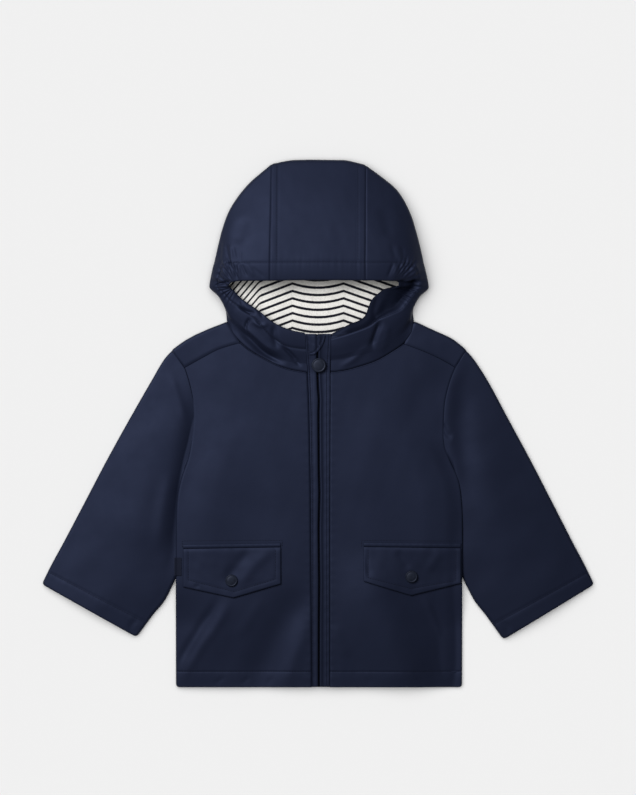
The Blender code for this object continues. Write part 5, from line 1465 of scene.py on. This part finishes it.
class RAINCOAT_OT_lining(bpy.types.Operator):
    """Line the hood with striped jersey"""

    bl_idname = "raincoat.lining"
    bl_label = "Lining"

    def execute(self, context):
        for side in ("left", "right"):
            places = np.concatenate([[0, 0.02, 0.06], np.linspace(0.12, LINED_TO, 90)])
            grid = hood_grid(HOODS[side], places, side)
            hood_lining("hood_lining_" + side, grid, facing_out(grid, [0], 50))
        grid = centre_grid(np.linspace(0, 4, 56))
        hood_lining("hood_lining_centre", grid, facing_out(grid, [0, -1], 10))
        return {"FINISHED"}


class RAINCOAT_OT_closure(bpy.types.Operator):
    """Make the zip, its welts and the chin guard"""

    bl_idname = "raincoat.closure"
    bl_label = "Closure"

    def execute(self, context):
        welts = [zip_welt(side) for side in ("left", "right")]
        zip_tape()
        zip_teeth()
        chin = chin_guard(Lay(*welts))
        for welt, side in zip(welts, ("left", "right")):
            line = [(welt_stitch(side, welt_row(y)[0], y), y) for y in np.linspace(101.0, -301.0, 60)]
            sew(f"welt_{side}_stitching", [Lay(welt).line(line)], "welt_" + side)
        sew("chin_guard_stitching", [Lay(chin).line(fine(CHIN_STITCHES, 4))], "chin_guard")
        return {"FINISHED"}


class RAINCOAT_OT_pockets(bpy.types.Operator):
    """Make the pockets' welts and pointed flaps"""

    bl_idname = "raincoat.pockets"
    bl_label = "Pockets"

    def execute(self, context):
        for side in ("left", "right"):
            front, = found(f"front_{side}_cloth")
            pocket_welt(side)
            flap_line = Lay(flap(side)).line(FLAP_STITCHES[side])
            sew(f"pocket_flap_{side}_stitching", [flap_line], "pocket_flap_" + side)
            welt_line = Lay(front).line(POCKET_STITCHES[side])
            sew(f"pocket_welt_{side}_stitching", [welt_line], "pocket_welt_" + side)
        return {"FINISHED"}


class RAINCOAT_OT_trims(bpy.types.Operator):
    """Set the press studs and the side tag"""

    bl_idname = "raincoat.trims"
    bl_label = "Trims"

    def execute(self, context):
        left, right = found("welt_left_cloth", "welt_right_cloth")
        flaps = found("pocket_flap_left_cloth", "pocket_flap_right_cloth")
        chin, front = found("chin_guard_cloth", "front_left_cloth")
        seats = (Lay(left, right, chin), Lay(flaps[0]), Lay(flaps[1]))
        for seat, (node, x, y, radius) in zip(seats, STUDS):
            stud(node, seat, x, y, radius)
        side_tag(Lay(front))
        return {"FINISHED"}


class RAINCOAT_OT_stage(bpy.types.Operator):
    """Set up the floor, the soft light and the camera"""

    bl_idname = "raincoat.stage"
    bl_label = "Stage"

    def execute(self, context):
        scene = context.scene
        scene.view_settings.view_transform = "Standard"
        mesh = bpy.data.meshes.new("floor")
        corners = [(x * FLOOR_HALF, y * FLOOR_HALF, FLOOR_Z) for x, y in ((-1, -1), (1, -1), (1, 1), (-1, 1))]
        mesh.from_pydata(corners, [], [(0, 1, 2, 3)])
        mesh.materials.append(finish("pale floor"))
        floor = bpy.data.objects.new("floor", mesh)
        scene.collection.objects.link(floor)
        world = bpy.data.worlds.new("studio")
        world.use_nodes = True
        background = world.node_tree.nodes["Background"].inputs
        background["Color"].default_value = (1.0, 1.0, 1.0, 1.0)
        background["Strength"].default_value = 0.2
        scene.world = world
        pieces = [each for each in scene.objects if each.type == "MESH" and each is not floor]
        lined = [each for each in pieces if each.name.startswith("hood_lining")]
        light("sky", "SUN", (-0.28, 0.28, 1.0), [floor], energy=3.02, angle=math.radians(90.0))
        light("soft box", "AREA", (-0.62, 0.54, 1.26), pieces, energy=23.4, size=0.8)
        light("fill", "SUN", (0.0, -0.6, 1.0), lined, energy=0.35, angle=math.radians(60.0))
        lens = bpy.data.cameras.new("camera")
        lens.lens, lens.sensor_width, lens.clip_end = LENS, SENSOR, 50.0
        camera = bpy.data.objects.new("camera", lens)
        camera.location = (0.0, VIEW_Y, VIEW_HEIGHT * LENS / SENSOR)
        scene.collection.objects.link(camera)
        scene.camera = camera
        return {"FINISHED"}


class RAINCOAT_PT_panel(bpy.types.Panel):
    """The raincoat's operators, sizes and colours"""

    bl_label = "Raincoat"
    bl_space_type = "VIEW_3D"
    bl_region_type = "UI"
    bl_category = "Raincoat"

    def draw(self, context):
        for operator in OPERATORS:
            self.layout.operator(operator.bl_idname)
        for group in (context.scene.raincoat_sizes, context.scene.raincoat_colours):
            box = self.layout.box()
            for name in group.bl_rna.properties.keys():
                if name not in ("rna_type", "name"):
                    box.prop(group, name)


OPERATORS = (RAINCOAT_OT_body, RAINCOAT_OT_yokes, RAINCOAT_OT_sleeves, RAINCOAT_OT_hood, RAINCOAT_OT_lining,
             RAINCOAT_OT_closure, RAINCOAT_OT_pockets, RAINCOAT_OT_trims, RAINCOAT_OT_stage)
CLASSES = (RaincoatSizes, RaincoatColours, *OPERATORS, RAINCOAT_PT_panel)


def register():
    """Register the classes and hang sizes and colours on the scene."""
    for each in CLASSES:
        bpy.utils.register_class(each)
    bpy.types.Scene.raincoat_sizes = PointerProperty(type=RaincoatSizes)
    bpy.types.Scene.raincoat_colours = PointerProperty(type=RaincoatColours)


def unregister():
    """Undo what register does."""
    del bpy.types.Scene.raincoat_colours
    del bpy.types.Scene.raincoat_sizes
    for each in reversed(CLASSES):
        bpy.utils.unregister_class(each)


def main():
    """Make the coat and its stage."""
    register()
    for operator in ("body", "yokes", "sleeves", "hood", "lining", "closure", "pockets", "trims", "stage"):
        getattr(bpy.ops.raincoat, operator)()


if __name__ == "__main__":
    main()
